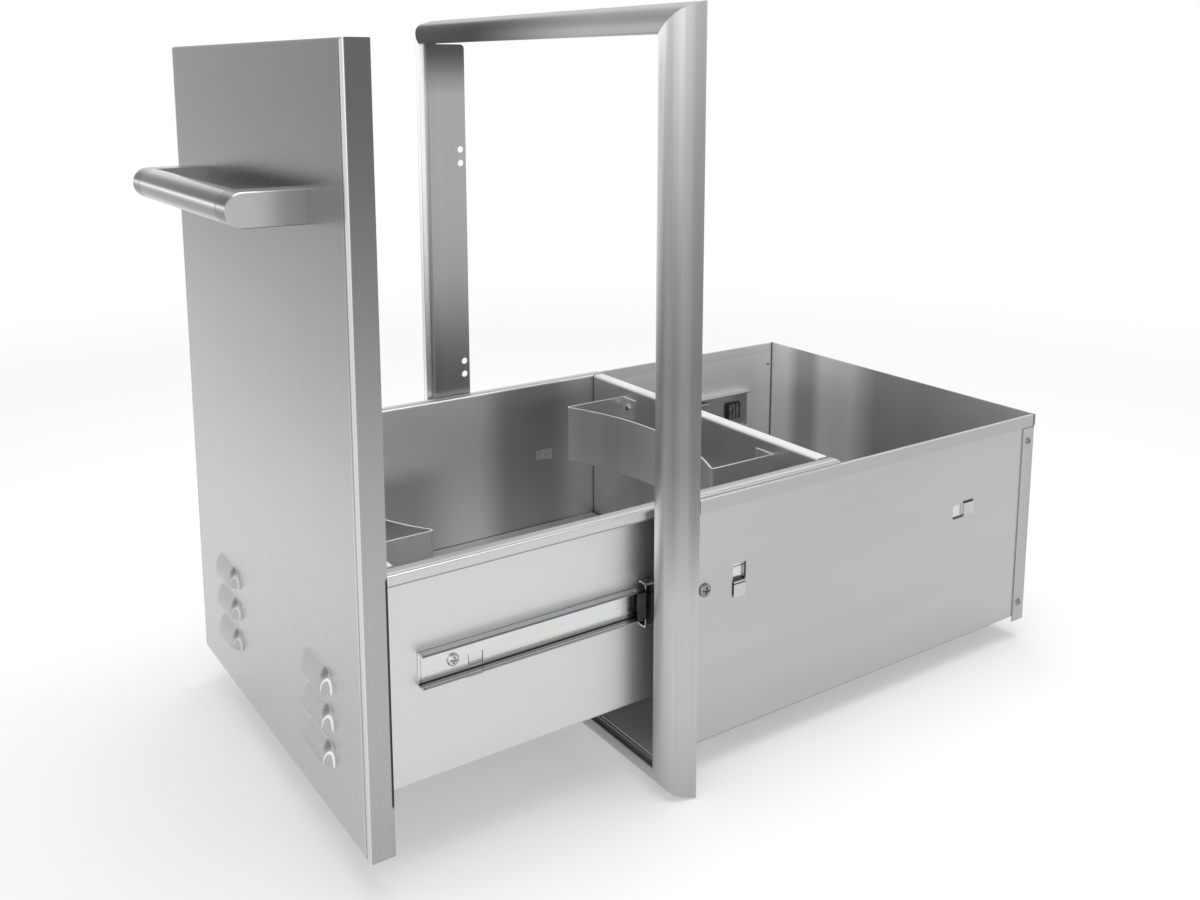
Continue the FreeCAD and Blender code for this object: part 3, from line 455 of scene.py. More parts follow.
class HardwareSettings(bpy.types.PropertyGroup):
    rail_screw: bpy.props.FloatProperty(
        name="Fixed rail screw", description="Radius of the screw heads that hold the fixed rails", default=0.0057,
        min=0.001, max=0.01, precision=4, unit="LENGTH",
    )
    drawer_screw: bpy.props.FloatProperty(
        name="Drawer rail screw", description="Radius of the screw heads that hold the drawer's rails",
        default=0.0046, min=0.001, max=0.01, precision=4, unit="LENGTH",
    )
    bracket_screw: bpy.props.FloatProperty(
        name="Bracket screw", description="Radius of the screw heads inside the drawer", default=0.0045, min=0.001,
        max=0.01, precision=4, unit="LENGTH",
    )
    panel_screw: bpy.props.FloatProperty(
        name="Panel screw", description="Radius of the screw heads on the case's back panel", default=0.0034,
        min=0.001, max=0.006, precision=4, unit="LENGTH",
    )
    rail_gauge: bpy.props.FloatProperty(
        name="Rail gauge", description="Sheet thickness of the travelling rails", default=0.0012, min=0.0005,
        max=0.0014, precision=4, unit="LENGTH",
    )


class StageSettings(bpy.types.PropertyGroup):
    floor_size: bpy.props.FloatProperty(
        name="Floor size", description="Side of the floor", default=40.0, min=1.0, unit="LENGTH",
    )
    key_power: bpy.props.FloatProperty(
        name="Key light", description="Power of the overhead light", default=42.0, min=0.0, unit="POWER",
    )
    fill_power: bpy.props.FloatProperty(
        name="Fill light", description="Power of the light from the right", default=9.0, min=0.0, unit="POWER",
    )
    ambient: bpy.props.FloatProperty(
        name="Ambient", description="Strength of the surrounding light", default=0.55, min=0.0, max=1.0,
    )
    ceiling: bpy.props.FloatProperty(
        name="Ceiling", description="Brightness of the studio above the white backdrop", default=0.5, min=0.0,
        max=1.0,
    )


def settings():
    """The scene's settings for steel, hardware and stage."""
    scene = bpy.context.scene
    return scene.tank_drawer_steel, scene.tank_drawer_hardware, scene.tank_drawer_stage


def finish_nodes(material, *names):
    """Give CAD nodes their material."""
    for name in names:
        mesh = NODES[name].data
        mesh.materials.clear()
        mesh.materials.append(material)


SIGNS = {"left": -1, "right": 1}

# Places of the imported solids, in millimetres
CASE_FACE = 187.5
CASE_REAR_FACE = 188.5
SLIDE_HEIGHT = 155.0
MIDDLE_WEB = 185.0
MIDDLE_START, MIDDLE_END = -27.5, 333.0
DRAWER_FACE = 173.8
DRAWER_RAIL_SHEET = 1.2
FRONT_WALL_FACE, REAR_WALL_FACE = -240.8, 165.0
BRACKET_SHEET = 1.5

# Places of screws, in millimetres
PANEL_SCREW_PLACE, PANEL_SCREW_HEIGHTS = 433.0, (38.0, 205.0)
FRONT_BRACKET_OFFSET, REAR_BRACKET_OFFSET, BRACKET_SCREW_HEIGHT = 94.5, 105.0, 212.0
DOOR_SCREW_OFFSET, DOOR_SCREW_HEIGHTS = 150.0, (160.0, 210.0)
CABINET_SCREW_PLACE, DRAWER_SCREW_PLACE = 28.5, -188.5
# Turns of screws, in radians
REAR_BRACKET_TURN, RAIL_SCREW_TURN = 0.7, 0.6

# Screws, in millimetres: (height of the head, radius of the shank, length of the shank)
PANEL_SCREW = (1.5, 1.6, 4.0)
FRONT_BRACKET_SCREW = (2.4, 2.0, 2.5)
REAR_BRACKET_SCREW = (2.4, 2.0, 5.5)
DOOR_SCREW = (2.2, 2.0, 1.0)
RAIL_SCREW = (2.4, 2.0, 2.2)


def facing(shader, axis):
    """How far a face is turned along an axis, from -1 to 1."""
    normal = shader.node("ShaderNodeNewGeometry", output="Normal")
    return shader.node("ShaderNodeSeparateXYZ", output=axis, Vector=normal)


def paint_top_rail(shader, colour):
    """Painted reflection: the front of the top rail darkens to the left; its upper side doesn't."""
    front = 1.0 - shader.between(facing(shader, "Z"), 0.8, 0.97)
    left = shader.between(distance_along(shader, "X"), 0.12, -0.1)
    return dim(shader, colour, left * front, 0.08)


# Painted reflections and highlights round a stile's front: light and dark from its inner to its outer edge
STILE_INNER, STILE_OUTER = 0.192, 0.215
STILE_BANDS = [
    (0.0, 2.6), (0.15, 2.8), (0.26, 2.3), (0.36, 1.5), (0.44, 1.08), (0.58, 0.82), (0.69, 0.73), (0.77, 0.88),
    (0.83, 1.0), (0.88, 0.97), (0.92, 0.76), (1.0, 0.74),
]
# Painted reflections along a stile: light and dark from its foot to its head
STILE_HEAD = 0.61
STILE_GLOW = [
    (0.0, 0.95), (0.13, 1.05), (0.27, 1.05), (0.35, 0.85), (0.44, 0.58), (0.55, 0.55), (0.7, 0.72), (0.85, 0.95),
    (1.0, 1.3),
]


def paint_stile(shader, colour):
    """Above the drawer a stile has painted reflections of the room in soft bands; below it is plain."""
    upper = shader.between(distance_along(shader, "Z"), 0.15, 0.24)
    banded = shade_over(shader, colour, [("|X|", STILE_INNER, STILE_OUTER, STILE_BANDS)])
    return shader.blend(upper, colour, banded)


class TANKDRAWER_OT_frame(bpy.types.Operator):
    """Finish the trim frame and its mounting flanges"""

    bl_idname = "tankdrawer.frame"
    bl_label = "Trim frame"

    def execute(self, context):
        steel, _, _ = settings()
        # Painted reflections along the stiles, and across them above the drawer
        glow = ("Z", 0.0, STILE_HEAD, STILE_GLOW)
        upright = brushed_steel("trim_upright", "Z", steel.trim_tone, shades=[glow], paint=paint_stile)
        top = brushed_steel("trim_top", "X", steel.trim_tone, paint=paint_top_rail)
        level = brushed_steel("trim_level", "X", steel.trim_tone)
        # On the flanges: a painted shadow at the top, under the top rail, and darker towards the foot
        corner_shade = ("Z", 0.53, 0.585, 0.22)
        low = ("Z", 0.45, 0.15, 0.8)
        flange = brushed_steel("flange_steel", "Z", steel.trim_tone * 0.88, shades=[low, corner_shade])
        finish_nodes(upright, "frame_left_stile", "frame_right_stile")
        finish_nodes(flange, "left_mounting_flange", "right_mounting_flange")
        finish_nodes(top, "frame_top_rail")
        finish_nodes(level, "frame_bottom_rail", "bottom_mounting_flange")
        return {"FINISHED"}


# Painted reflections on the back panel's inner face: soft light and dark from its left to its right
BACK_HALF_WIDTH = 0.187
BACK_BANDS = [
    (0.0, 1.0), (0.08, 1.0), (0.13, 0.6), (0.19, 0.62), (0.23, 1.0), (0.36, 1.0), (0.46, 0.5), (0.62, 0.52),
    (0.8, 0.62), (1.0, 0.75),
]


def paint_back_panel(shader, colour):
    """Painted reflections in soft bands inside, and a plain darker face outside."""
    outside = shader.between(distance_along(shader, "Y"), 0.4402, 0.4408)
    banded = shade_over(shader, colour, [("X", -BACK_HALF_WIDTH, BACK_HALF_WIDTH, BACK_BANDS)])
    plain = shader.multiply(colour, neutral(0.55))
    return shader.blend(outside, banded, plain)


# Through the inner face of a case wall, from outside to inside
CASE_INSIDE = (0.18705, 0.18695)


def case_roughness(shader):
    """The case's walls are duller inside than outside."""
    return shader.between(distance_along(shader, "|X|"), *CASE_INSIDE, 0.32, 0.5)


# Shaded edges of the slots for the fixed rails' hooks: (lowest and highest Y, lowest and highest Z)
SLOT_EDGES = [
    (0.0701, 0.0716, 0.155, 0.1692), (0.057, 0.0582, 0.1435, 0.1535), (0.327, 0.3415, 0.1472, 0.1489),
    (0.341, 0.3555, 0.1609, 0.1628),
]


def paint_case_wall(shader, colour):
    """Shade along the edges of the hooks' slots."""
    for front, rear, low, high in SLOT_EDGES:
        colour = dim(shader, colour, within(shader, "Y", front, rear) * within(shader, "Z", low, high), 0.2)
    return colour


class TANKDRAWER_OT_case(bpy.types.Operator):
    """Finish the case behind the frame and add the screws of its back panel"""

    bl_idname = "tankdrawer.case"
    bl_label = "Case"

    def execute(self, context):
        steel, hardware, _ = settings()
        # On the case walls: inner faces painted lighter for the dim inside, painted shade in the rear corner and
        # under the hem, a painted highlight along the hem's top, and a darker line along the lower edge
        inside = ("|X|", *CASE_INSIDE, 1.9)
        corner_shade = ("Y", 0.4378, 0.4388, 0.4)
        under_hem_shade = ("Z", 0.2188, 0.2197, 0.92)
        hem_highlight = ("Z", 0.2301, 0.2307, 1.8)
        lower_edge = ("Z", 0.0254, 0.0249, 0.35)
        wall = brushed_steel(
            "case_steel", "Y", steel.case_tone, rough=case_roughness, contrast=0.2,
            shades=[inside, corner_shade, under_hem_shade, hem_highlight, lower_edge], bands=0.1, paint=paint_case_wall,
        )
        seam = ("|X|", 0.1848, 0.1856, 0.4)
        fold = ("|X|", 0.1866, 0.1872, 1.75)
        # The back panel's tone is raised as painted light for the dim inside, with dark seam lines along its sides as
        # painted shade in the corners; paint_back_panel takes the outside back down
        back = brushed_steel(
            "case_back_steel", "Z", min(steel.case_tone * 1.95, 1.0), rough=0.52, contrast=0.35,
            shades=[seam, fold], bands=0.15, paint=paint_back_panel,
        )
        # The case floor's tone is raised as painted light, and taken back down towards the rear
        rearward = ("Y", 0.02, 0.08, 0.4)
        floor = brushed_steel(
            "case_floor_steel", "Y", steel.case_tone * 1.7, rough=0.6, contrast=0.4, shades=[rearward], bands=0.15
        )
        finish_nodes(wall, "case_left_wall", "case_right_wall")
        finish_nodes(floor, "case_floor")
        finish_nodes(back, "case_back_panel")
        screw = polished_steel("panel_screw_steel", 0.32)
        radius = hardware.panel_screw / MM
        for side, sign in SIGNS.items():
            bm = bmesh.new()
            for turn, height in enumerate(PANEL_SCREW_HEIGHTS):
                foot = (sign * CASE_REAR_FACE, PANEL_SCREW_PLACE, height)
                add_screw(bm, foot, (sign, 0, 0), radius, turn, *PANEL_SCREW)
            settle(bm, f"{side}_back_panel_screws", screw, "housing")
        return {"FINISHED"}


def paint_drawer_wall(shader, colour):
    """Painted light and shade inside: a lighter inner face, painted shadows towards the rear and low at the front,
    and a painted shadow line along the lip's lower edge.
    """
    x, y, z = (distance_along(shader, axis) for axis in ("|X|", "Y", "Z"))
    inside = shader.between(x, 0.1734, 0.1732)
    shadow = shader.between(y, 0.018, 0.062) * (1.0 - 0.85 * shader.between(y, 0.105, 0.15))
    low_front = shader.between(z, 0.178, 0.148) * shader.between(y, 0.01, -0.06)
    lip_shadow = shader.between(x, 0.1852, 0.1855) * shader.between(z, 0.2263, 0.2257)
    colour = dim(shader, colour, inside, 1.2)
    colour = dim(shader, colour, inside * shadow, 0.52)
    colour = dim(shader, colour, inside * low_front, 0.58)
    return dim(shader, colour, lip_shadow, 0.5)


# Painted highlights and shade lines across a drawer wall's rolled rim, from the wall out to its lip
RIM_BANDS = [
    (0.0, 1.0), (0.03, 0.8), (0.45, 0.85), (0.56, 1.15), (0.8, 1.2), (0.84, 0.6), (0.9, 0.6), (0.94, 1.0), (1.0, 1.0),
]


class TANKDRAWER_OT_drawer(bpy.types.Operator):
    """Finish the drawer box and its tank brackets, with their screws"""

    bl_idname = "tankdrawer.drawer"
    bl_label = "Drawer box"

    def execute(self, context):
        steel, hardware, _ = settings()
        # The lip's face a little darker, and painted highlights and shade lines across the rim
        lip = ("|X|", 0.1853, 0.1856, 0.92)
        rim = ("|X|", 0.174, 0.1858, RIM_BANDS)
        wall = brushed_steel(
            "drawer_steel", "Y", steel.drawer_tone, rough=0.42, contrast=0.15, shades=[rim, lip],
            paint=paint_drawer_wall,
        )
        # Along the drawer floor's edges: a lighter strip, then painted shade in the corners by the walls and the rear
        # wall; the floor has a darker tone
        foot = [("|X|", 0.1695, 0.17, 1.6), ("|X|", 0.1706, 0.1712, 0.2), ("Y", 0.161, 0.1625, 0.35)]
        floor = brushed_steel(
            "drawer_floor_steel", "Y", steel.drawer_tone * 0.8, rough=0.6, contrast=0.4, shades=foot
        )
        # The ends and brackets are raised in tone as painted light for the dim inside; the ends get painted shade in
        # the rear corners and a painted highlight along the rolled top edge
        corner_shade = ("|X|", 0.1708, 0.1714, 0.25)
        rolled = ("Z", 0.2295, 0.2305, 1.4)
        ends = brushed_steel(
            "drawer_end_steel", "Z", steel.drawer_tone * 1.12, contrast=0.4, shades=[corner_shade, rolled], bands=0.25
        )
        bracket = brushed_steel("bracket_steel", "Z", steel.drawer_tone * 1.38, contrast=0.4, bands=0.2)
        finish_nodes(wall, "drawer_left_wall", "drawer_right_wall")
        finish_nodes(floor, "drawer_floor")
        finish_nodes(ends, "drawer_front_wall", "drawer_rear_wall")
        finish_nodes(bracket, "front_tank_bracket", "rear_tank_bracket")
        screw = polished_steel("bracket_screw_steel", 0.5)
        radius = hardware.bracket_screw / MM
        bm = bmesh.new()
        front_face = FRONT_WALL_FACE + BRACKET_SHEET
        rear_face = REAR_WALL_FACE - BRACKET_SHEET
        for sign in SIGNS.values():
            front_foot = (sign * FRONT_BRACKET_OFFSET, front_face, BRACKET_SCREW_HEIGHT)
            rear_foot = (sign * REAR_BRACKET_OFFSET, rear_face, BRACKET_SCREW_HEIGHT)
            add_screw(bm, front_foot, (0, 1, 0), radius, sign, *FRONT_BRACKET_SCREW)
            add_screw(bm, rear_foot, (0, -1, 0), radius, REAR_BRACKET_TURN, *REAR_BRACKET_SCREW)
        settle(bm, "bracket_cross_screws", screw, "drawer")
        bm = bmesh.new()
        for sign in SIGNS.values():
            for height in DOOR_SCREW_HEIGHTS:
                # Each height serves as the screw's turn too, so that the two differ
                foot = (sign * DOOR_SCREW_OFFSET, FRONT_WALL_FACE, height)
                add_screw(bm, foot, (0, 1, 0), radius, height, *DOOR_SCREW)
        settle(bm, "door_mounting_screws", screw, "drawer")
        return {"FINISHED"}


# Painted reflections: light and dark bands round the handle's bar, from its lowest to its highest point
BAR_LOW, BAR_HIGH = 0.461, 0.485
BAR_BANDS = [
    (0.0, 0.75), (0.18, 0.7), (0.3, 0.28), (0.45, 0.3), (0.53, 0.8), (0.58, 1.8), (0.62, 1.1), (0.66, 0.2),
    (0.7, 0.03), (0.82, 0.03), (0.88, 0.25), (0.95, 0.9), (1.0, 1.1),
]


def paint_arm(shader, colour):
    """The bar's painted reflection bands run on round a handle arm's nose, and not over its flat sides."""
    shone = shade_over(shader, colour, [("Z", BAR_LOW, BAR_HIGH, BAR_BANDS)])
    sideways = shader.math("ABSOLUTE", facing(shader, "X"))
    on_nose = shader.between(distance_along(shader, "Y"), -0.296, -0.306)
    return shader.blend((1.0 - shader.between(sideways, 0.3, 0.6)) * on_nose, colour, shone)


# Distance of each group of louvres from the door's middle, foot of the lowest louvre, and distance between two
LOUVRE_OFFSET, LOUVRE_LOWEST, LOUVRE_PITCH = 0.103, 0.076, 0.0278
DOOR_FACE = -0.2604


def paint_door(shader, colour):
    """Painted highlight along the folded sides, painted shade line behind them, and on each pressed louvre a painted
    darker body, painted shade at its shoulder and a painted highlight on its curl.
    """
    x, y, z = (distance_along(shader, axis) for axis in "XYZ")
    along = x - shader.math("SIGN", x) * LOUVRE_OFFSET
    rise = shader.math("FLOORED_MODULO", z - LOUVRE_LOWEST, LOUVRE_PITCH)
    raised = shader.between(y, DOOR_FACE - 0.0002, DOOR_FACE - 0.0009)

    def spread(middle, height, half_width, half_height):
        """Distance from a place on each louvre, 1 on an ellipse round it."""
        across = (along - middle) / half_width
        upward = (rise - height) / half_height
        return shader.math("SQRT", across * across + upward * upward)

    # Painted shade at each louvre's shoulder, and a painted highlight on its curl, stronger on the right-hand group
    shoulder = 1.0 - shader.between(spread(0.0203, 0.0138, 0.0045, 0.0062), 0.3, 1.2)
    curl = spread(0.0248, 0.0, 0.0046, 0.01)
    bright = shader.between(curl, 0.78, 0.9) * (1.0 - shader.between(curl, 0.97, 1.08))
    strength = shader.between(x, -0.05, 0.05, 0.32, 0.9)
    fold_highlight = within(shader, "|X|", 0.1847, 0.1887)
    rear_shade_line = shader.between(y, -0.2437, -0.2431) * within(shader, "Z", 0.069, 0.233, 0.002)
    colour = shader.blend(fold_highlight, colour, grey(0.66))
    colour = dim(shader, colour, rear_shade_line, 0.1)
    colour = dim(shader, colour, raised, 0.86)
    colour = dim(shader, colour, raised * shoulder, 0.5)
    return shader.blend(raised * bright * strength, colour, grey(0.95))


# Painted reflections towards the door's folded sides: light and dark bands
FOLD_BANDS = [
    (0.0, 1.0), (0.06, 1.2), (0.2, 1.2), (0.26, 0.95), (0.31, 0.62), (0.47, 0.62), (0.52, 1.0), (0.95, 1.0),
    (0.97, 0.76), (1.0, 0.76),
]


class TANKDRAWER_OT_door(bpy.types.Operator):
    """Finish the door and its handle"""

    bl_idname = "tankdrawer.door"
    bl_label = "Door"

    def execute(self, context):
        steel, _, _ = settings()
        # Painted reflections: the door darkens towards the top, with light and dark bands towards its folded sides
        reflection_fade = ("Z", 0.2, 0.57, 0.33)
        fold = ("|X|", 0.18, 0.189, FOLD_BANDS)
        panel = brushed_steel(
            "door_steel", "Z", steel.door_tone, rough=0.27, contrast=0.45, shades=[reflection_fade, fold], paint=paint_door
        )
        liner = brushed_steel("liner_steel", "Z", steel.door_tone * 1.2, contrast=0.6)
        seam = ("|X|", 0.0974, 0.0978, 0.35)
        # Painted reflections in bands round the bar
        bands = ("Z", BAR_LOW, BAR_HIGH, BAR_BANDS)
        bar = brushed_steel(
            "handle_bar_steel", "YZ", steel.trim_tone * 1.1, rough=0.2, contrast=0.4, shades=[seam, bands]
        )
        arm = brushed_steel(
            "handle_arm_steel", "Y", steel.trim_tone, rough=0.28, contrast=0.2, paint=paint_arm
        )
        finish_nodes(panel, "door_panel")
        finish_nodes(liner, "door_liner")
        finish_nodes(bar, "handle_bar")
        finish_nodes(arm, "handle_left_arm", "handle_right_arm")
        return {"FINISHED"}


# Middle of a travelling rail's sheet, from its web's middle up to its lip: (distance from the web's face, height)
TRAVELLING_RAIL = [
    (0.6, 0.0), (0.6, 7.0), (0.6, 13.6), (1.2, 16.6), (2.7, 17.75), (4.35, 17.4), (6.3, 17.85), (8.3, 17.6),
    (9.6, 16.7),
]
# Rows of balls: place is their distance from the object's middle, rise that from the slide's
OUTER_BALLS = {"radius": 1.5, "place": 180.65, "rise": 20.025, "first": 117.2, "pitch": 26.0}
INNER_BALLS = {"radius": 2.23, "place": 178.6, "rise": 14.85, "first": -3.8, "pitch": 30.0}
BALLS_PER_ROW = 5
BUMPER_RIBS = 4
LATCH_RIDGES = 3


def paint_fixed_rail(shader, colour):
    """The hooks' tabs are painted darker than the rail, as shade, and the front hook's bend has two painted shade
    lines.
    """
    tab = shader.between(distance_along(shader, "|X|"), 0.1876, 0.1879)
    colour = dim(shader, colour, tab, 0.8)
    front_hook = within(shader, "Y", 0.0575, 0.0705)
    for low, high in ((0.1546, 0.1556), (0.1521, 0.1533)):
        colour = dim(shader, colour, front_hook * within(shader, "Z", low, high), 0.12)
    return colour


def paint_travelling_rail(shader, colour):
    """The web's outer face has a painted dark line below its bend, and painted shade at its front end, where the
    stile shades it.
    """
    outer = shader.between(distance_along(shader, "|X|"), 0.1842, 0.1848)
    front = shader.between(distance_along(shader, "Y"), 0.0, -0.015)
    colour = dim(shader, colour, outer * within(shader, "Z", 0.1654, 0.1662), 0.12)
    return dim(shader, colour, outer * front, 0.25)


# Painted light and shade lines along a drawer rail's lower lip, from its web outwards
LIP_LINES = [
    (0.0, 0.25), (0.16, 0.25), (0.26, 0.7), (0.5, 0.6), (0.62, 0.5), (0.7, 1.15), (0.86, 1.15), (0.92, 0.4),
    (1.0, 0.4),
]


def paint_drawer_rail(shader, colour):
    """Painted shade along the upper lip's edge, and painted light and shade lines along the lower one."""
    x, z = distance_along(shader, "|X|"), distance_along(shader, "Z")
    lined = shade_over(shader, colour, [("|X|", 0.175, 0.1822, LIP_LINES)])
    colour = shader.blend(shader.between(z, 0.1448, 0.1441), colour, lined)
    edge = shader.between(x, 0.1812, 0.1816) * shader.between(z, 0.1655, 0.166)
    return dim(shader, colour, edge, 0.25)


def make_balls(name, material, body, sign, row):
    """Two rows of balls between two rails."""
    bm = bmesh.new()
    for sense in (1, -1):
        for step in range(BALLS_PER_ROW):
            place = (sign * row["place"], row["first"] + row["pitch"] * step, SLIDE_HEIGHT + sense * row["rise"])
            bmesh.ops.create_uvsphere(
                bm, u_segments=20, v_segments=12, radius=row["radius"], matrix=Matrix.Translation(place)
            )
    settle(bm, name, material, body)


class TANKDRAWER_OT_slides(bpy.types.Operator):
    """Finish the ball slides: rolled travelling rails, balls, latches and screws"""

    bl_idname = "tankdrawer.slides"
    bl_label = "Ball slides"

    def execute(self, context):
        steel, hardware, _ = settings()
        zinc = zinc_plate("slide_zinc", steel.zinc_tone)
        fixed = zinc_plate("fixed_rail_zinc", steel.zinc_tone, paint=paint_fixed_rail)
        travelling = zinc_plate("travelling_rail_zinc", steel.zinc_tone, paint=paint_travelling_rail)
        # Painted reflection near the drawer rail's front end: a bright strip, then a dark band
        end = ("Y", -0.2148, -0.2108, [(0.0, 1.15), (0.2, 1.15), (0.3, 0.6), (0.6, 1.0), (1.0, 1.0)])
        drawer_zinc = zinc_plate("drawer_rail_zinc", steel.zinc_tone, shades=[end], paint=paint_drawer_rail)
        plastic = moulded_plastic("slide_plastic", steel.plastic_tone)
        # Painted highlight on the bumper's rib crests
        ribbed = moulded_plastic("bumper_plastic", steel.plastic_tone, [("|X|", 0.1815, 0.1785, 6.0)])
        ball = polished_steel("ball_steel", 0.7)
        dark_screw = polished_steel("rail_screw_steel", 0.3)
        bright_screw = polished_steel("drawer_rail_screw_steel", 0.62)
        for side, sign in SIGNS.items():
            finish_nodes(fixed, f"{side}_cabinet_rail")
            finish_nodes(zinc, f"{side}_middle_rail")
            finish_nodes(drawer_zinc, f"{side}_drawer_rail")
            finish_nodes(plastic, f"{side}_rail_bumper", f"{side}_outer_ball_cage", f"{side}_inner_ball_cage")
            make_balls(f"{side}_outer_slide_balls", ball, "outer_cages", sign, OUTER_BALLS)
            make_balls(f"{side}_inner_slide_balls", ball, "inner_cages", sign, INNER_BALLS)
            self.make_travelling_rail(side, sign, travelling, hardware.rail_gauge / MM)
            self.make_latch(side, sign, plastic)
            self.make_bumper(side, sign, ribbed)
            self.make_tongues(side, sign, zinc)
        drawer_rail_face = DRAWER_FACE + DRAWER_RAIL_SHEET
        for name, face, place, radius, body, screw in (
            ("cabinet_rail", CASE_FACE, CABINET_SCREW_PLACE, hardware.rail_screw, "housing", dark_screw),
            ("drawer_rail", drawer_rail_face, DRAWER_SCREW_PLACE, hardware.drawer_screw, "drawer", bright_screw),
        ):
            bm = bmesh.new()
            for sign in SIGNS.values():
                foot = (sign * face, place, SLIDE_HEIGHT)
                add_screw(bm, foot, (sign, 0, 0), radius / MM, RAIL_SCREW_TURN, *RAIL_SCREW)
            settle(bm, f"{name}_cross_screws", screw, body, [f"{name}_screws"])
        return {"FINISHED"}

    def make_travelling_rail(self, side, sign, material, gauge):
        """Travelling rail with rolled lips, in place of the plain channel."""
        upper = smooth_path(TRAVELLING_RAIL)
        path = [(depth, -height) for depth, height in reversed(upper[1:])] + upper

        def upright(depth, height, y):
            return sign * (MIDDLE_WEB - depth), y, SLIDE_HEIGHT + height

        bm = bmesh.new()
        add_bent_sheet(bm, path, gauge, upright, MIDDLE_START, MIDDLE_END)
        settle(bm, f"{side}_rolled_middle_rail", material, "middle_rails", [f"{side}_middle_rail"])

    def make_latch(self, side, sign, material):
        """Black latch in the front end of a travelling rail, with ridges on its face."""
        seat, half = 183.7, 10.5
        front, rear = MIDDLE_START - 5.0, MIDDLE_START + 3.5
        outline = [
            (seat, front), (180.6, front - 0.2), (178.4, front + 1.6), (177.8, front + 4.2), (178.3, front + 6.6),
            (179.8, rear - 0.5), (181.0, rear), (seat, rear),
        ]
        # Sections from the lower to the upper end: height, and how far the face is set back
        levels = [(-half, 0.9), (-half + 1.2, 0.2), (-half / 2, 0.0), (half / 2, 0.0), (half - 1.2, 0.2), (half, 0.9)]
        bm = bmesh.new()
        loops = [
            [bm.verts.new((sign * min(x + inset, seat), y, SLIDE_HEIGHT + level)) for x, y in outline]
            for level, inset in levels
        ]
        for first, second in zip(loops, loops[1:]):
            join_rings(bm, first, second)
        bm.faces.new(loops[0])
        bm.faces.new(list(reversed(loops[-1])))
        ridge_size, ridge_face = (1.6, 1.1, 11.0), 177.9
        first_ridge, ridge_pitch = front + 2.4, 2.0
        for step in range(LATCH_RIDGES):
            place = (sign * ridge_face, first_ridge + ridge_pitch * step, SLIDE_HEIGHT)
            ridge = bmesh.ops.create_cube(bm, size=1.0)["verts"]
            bmesh.ops.scale(bm, vec=ridge_size, verts=ridge)
            bmesh.ops.translate(bm, vec=place, verts=ridge)
        settle(bm, f"{side}_slide_latch", material, "middle_rails")

    def make_bumper(self, side, sign, material):
        """Black stop in the rear of a fixed rail, with rounded ribs."""
        seat, sunk, depth = 185.3, 0.2, 7.2
        front, length, half = 366.0, 22.0, 11.0
        across, along = 16, 60
        # Shares of the depth and of the half height: in a groove, and what a rib adds
        groove, rib_rise = 0.42, 0.58
        waist, rib_swell = 0.9, 0.1
        # Powers and slope that round the ribs, the long edges and the two ends
        rib_power, edge_power, end_slope, end_power = 0.6, 6, 6, 0.4
        bm = bmesh.new()
        rows = []
        for step in range(along + 1):
            t = step / along
            rib = abs(math.sin(math.pi * BUMPER_RIBS * t)) ** rib_power
            end = min(1.0, end_slope * t, end_slope * (1 - t)) ** end_power
            row = []
            for rung in range(across + 1):
                u = 2 * rung / across - 1
                crown = math.sqrt(1 - abs(u) ** edge_power) * end
                x = seat - depth * crown * (groove + rib_rise * rib)
                z = half * u * (waist + rib_swell * rib)
                row.append(bm.verts.new((sign * x, front + length * t, SLIDE_HEIGHT + z)))
            rows.append(row)
        for first, second in zip(rows, rows[1:]):
            for rung in range(across):
                bm.faces.new((first[rung], first[rung + 1], second[rung + 1], second[rung]))
        upper_edge = [row[-1] for row in rows[1:]]
        lower_edge = [row[0] for row in rows[-2:0:-1]]
        rim = [*rows[0], *upper_edge, *rows[-1][-2::-1], *lower_edge]
        back = [bm.verts.new(vertex.co + Vector((sign * sunk, 0.0, 0.0))) for vertex in rim]
        join_rings(bm, rim, back)
        bm.faces.new(back)
        settle(bm, f"{side}_ribbed_bumper", material, "housing", [f"{side}_rail_bumper"])

    def make_tongues(self, side, sign, material):
        """Tongues of the pressed hooks, seen in the rails' windows."""
        gauge, half = 1.0, 5.6
        front_start, front_end = -175.9, -165.1
        rear_middle, cabinet_middle, cabinet_stretch = 100.5, 341.0, 1.4
        bend = smooth_path([(0.6, 0.0), (0.55, -2.5), (0.4, -6.0), (0.3, -9.4)], 4)

        def hanging(depth, height, y):
            return sign * (DRAWER_FACE + depth), y, SLIDE_HEIGHT + height

        def level(depth, length, z):
            return sign * (DRAWER_FACE + depth), rear_middle + length, SLIDE_HEIGHT + z

        def outward(depth, length, z):
            return sign * (CASE_FACE - gauge - depth), cabinet_middle + cabinet_stretch * length, SLIDE_HEIGHT + z

        bm = bmesh.new()
        add_bent_sheet(bm, bend, gauge, hanging, front_start, front_end)
        add_bent_sheet(bm, bend, gauge, level, -half, half)
        settle(bm, f"{side}_drawer_rail_tongues", material, "drawer")
        bm = bmesh.new()
        add_bent_sheet(bm, bend, gauge, outward, -half, half)
        settle(bm, f"{side}_cabinet_rail_tongue", material, "housing")


def add_area_light(name, place, target, size, power):
    """Rectangular light that points at a target."""
    lamp = bpy.data.lights.new(name, "AREA")
    lamp.shape = "RECTANGLE"
    lamp.size, lamp.size_y = size
    lamp.energy = power
    holder = bpy.data.objects.new(name, lamp)
    holder.location = place
    holder.rotation_euler = (Vector(target) - Vector(place)).to_track_quat("-Z", "Y").to_euler()
    bpy.context.scene.collection.objects.link(holder)


def seen_directly(shader):
    """1 for rays that show the background: to the camera, in a reflection or through glass."""
    camera, glossy, through = (
        shader.node("ShaderNodeLightPath", output=f"Is {kind} Ray") for kind in ("Camera", "Glossy", "Transmission")
    )
    return shader.math("MAXIMUM", shader.math("MAXIMUM", camera, glossy), through)


# The floor lies just below the frame's foot, so that the two faces never share a plane
FLOOR_LEVEL = -0.0006


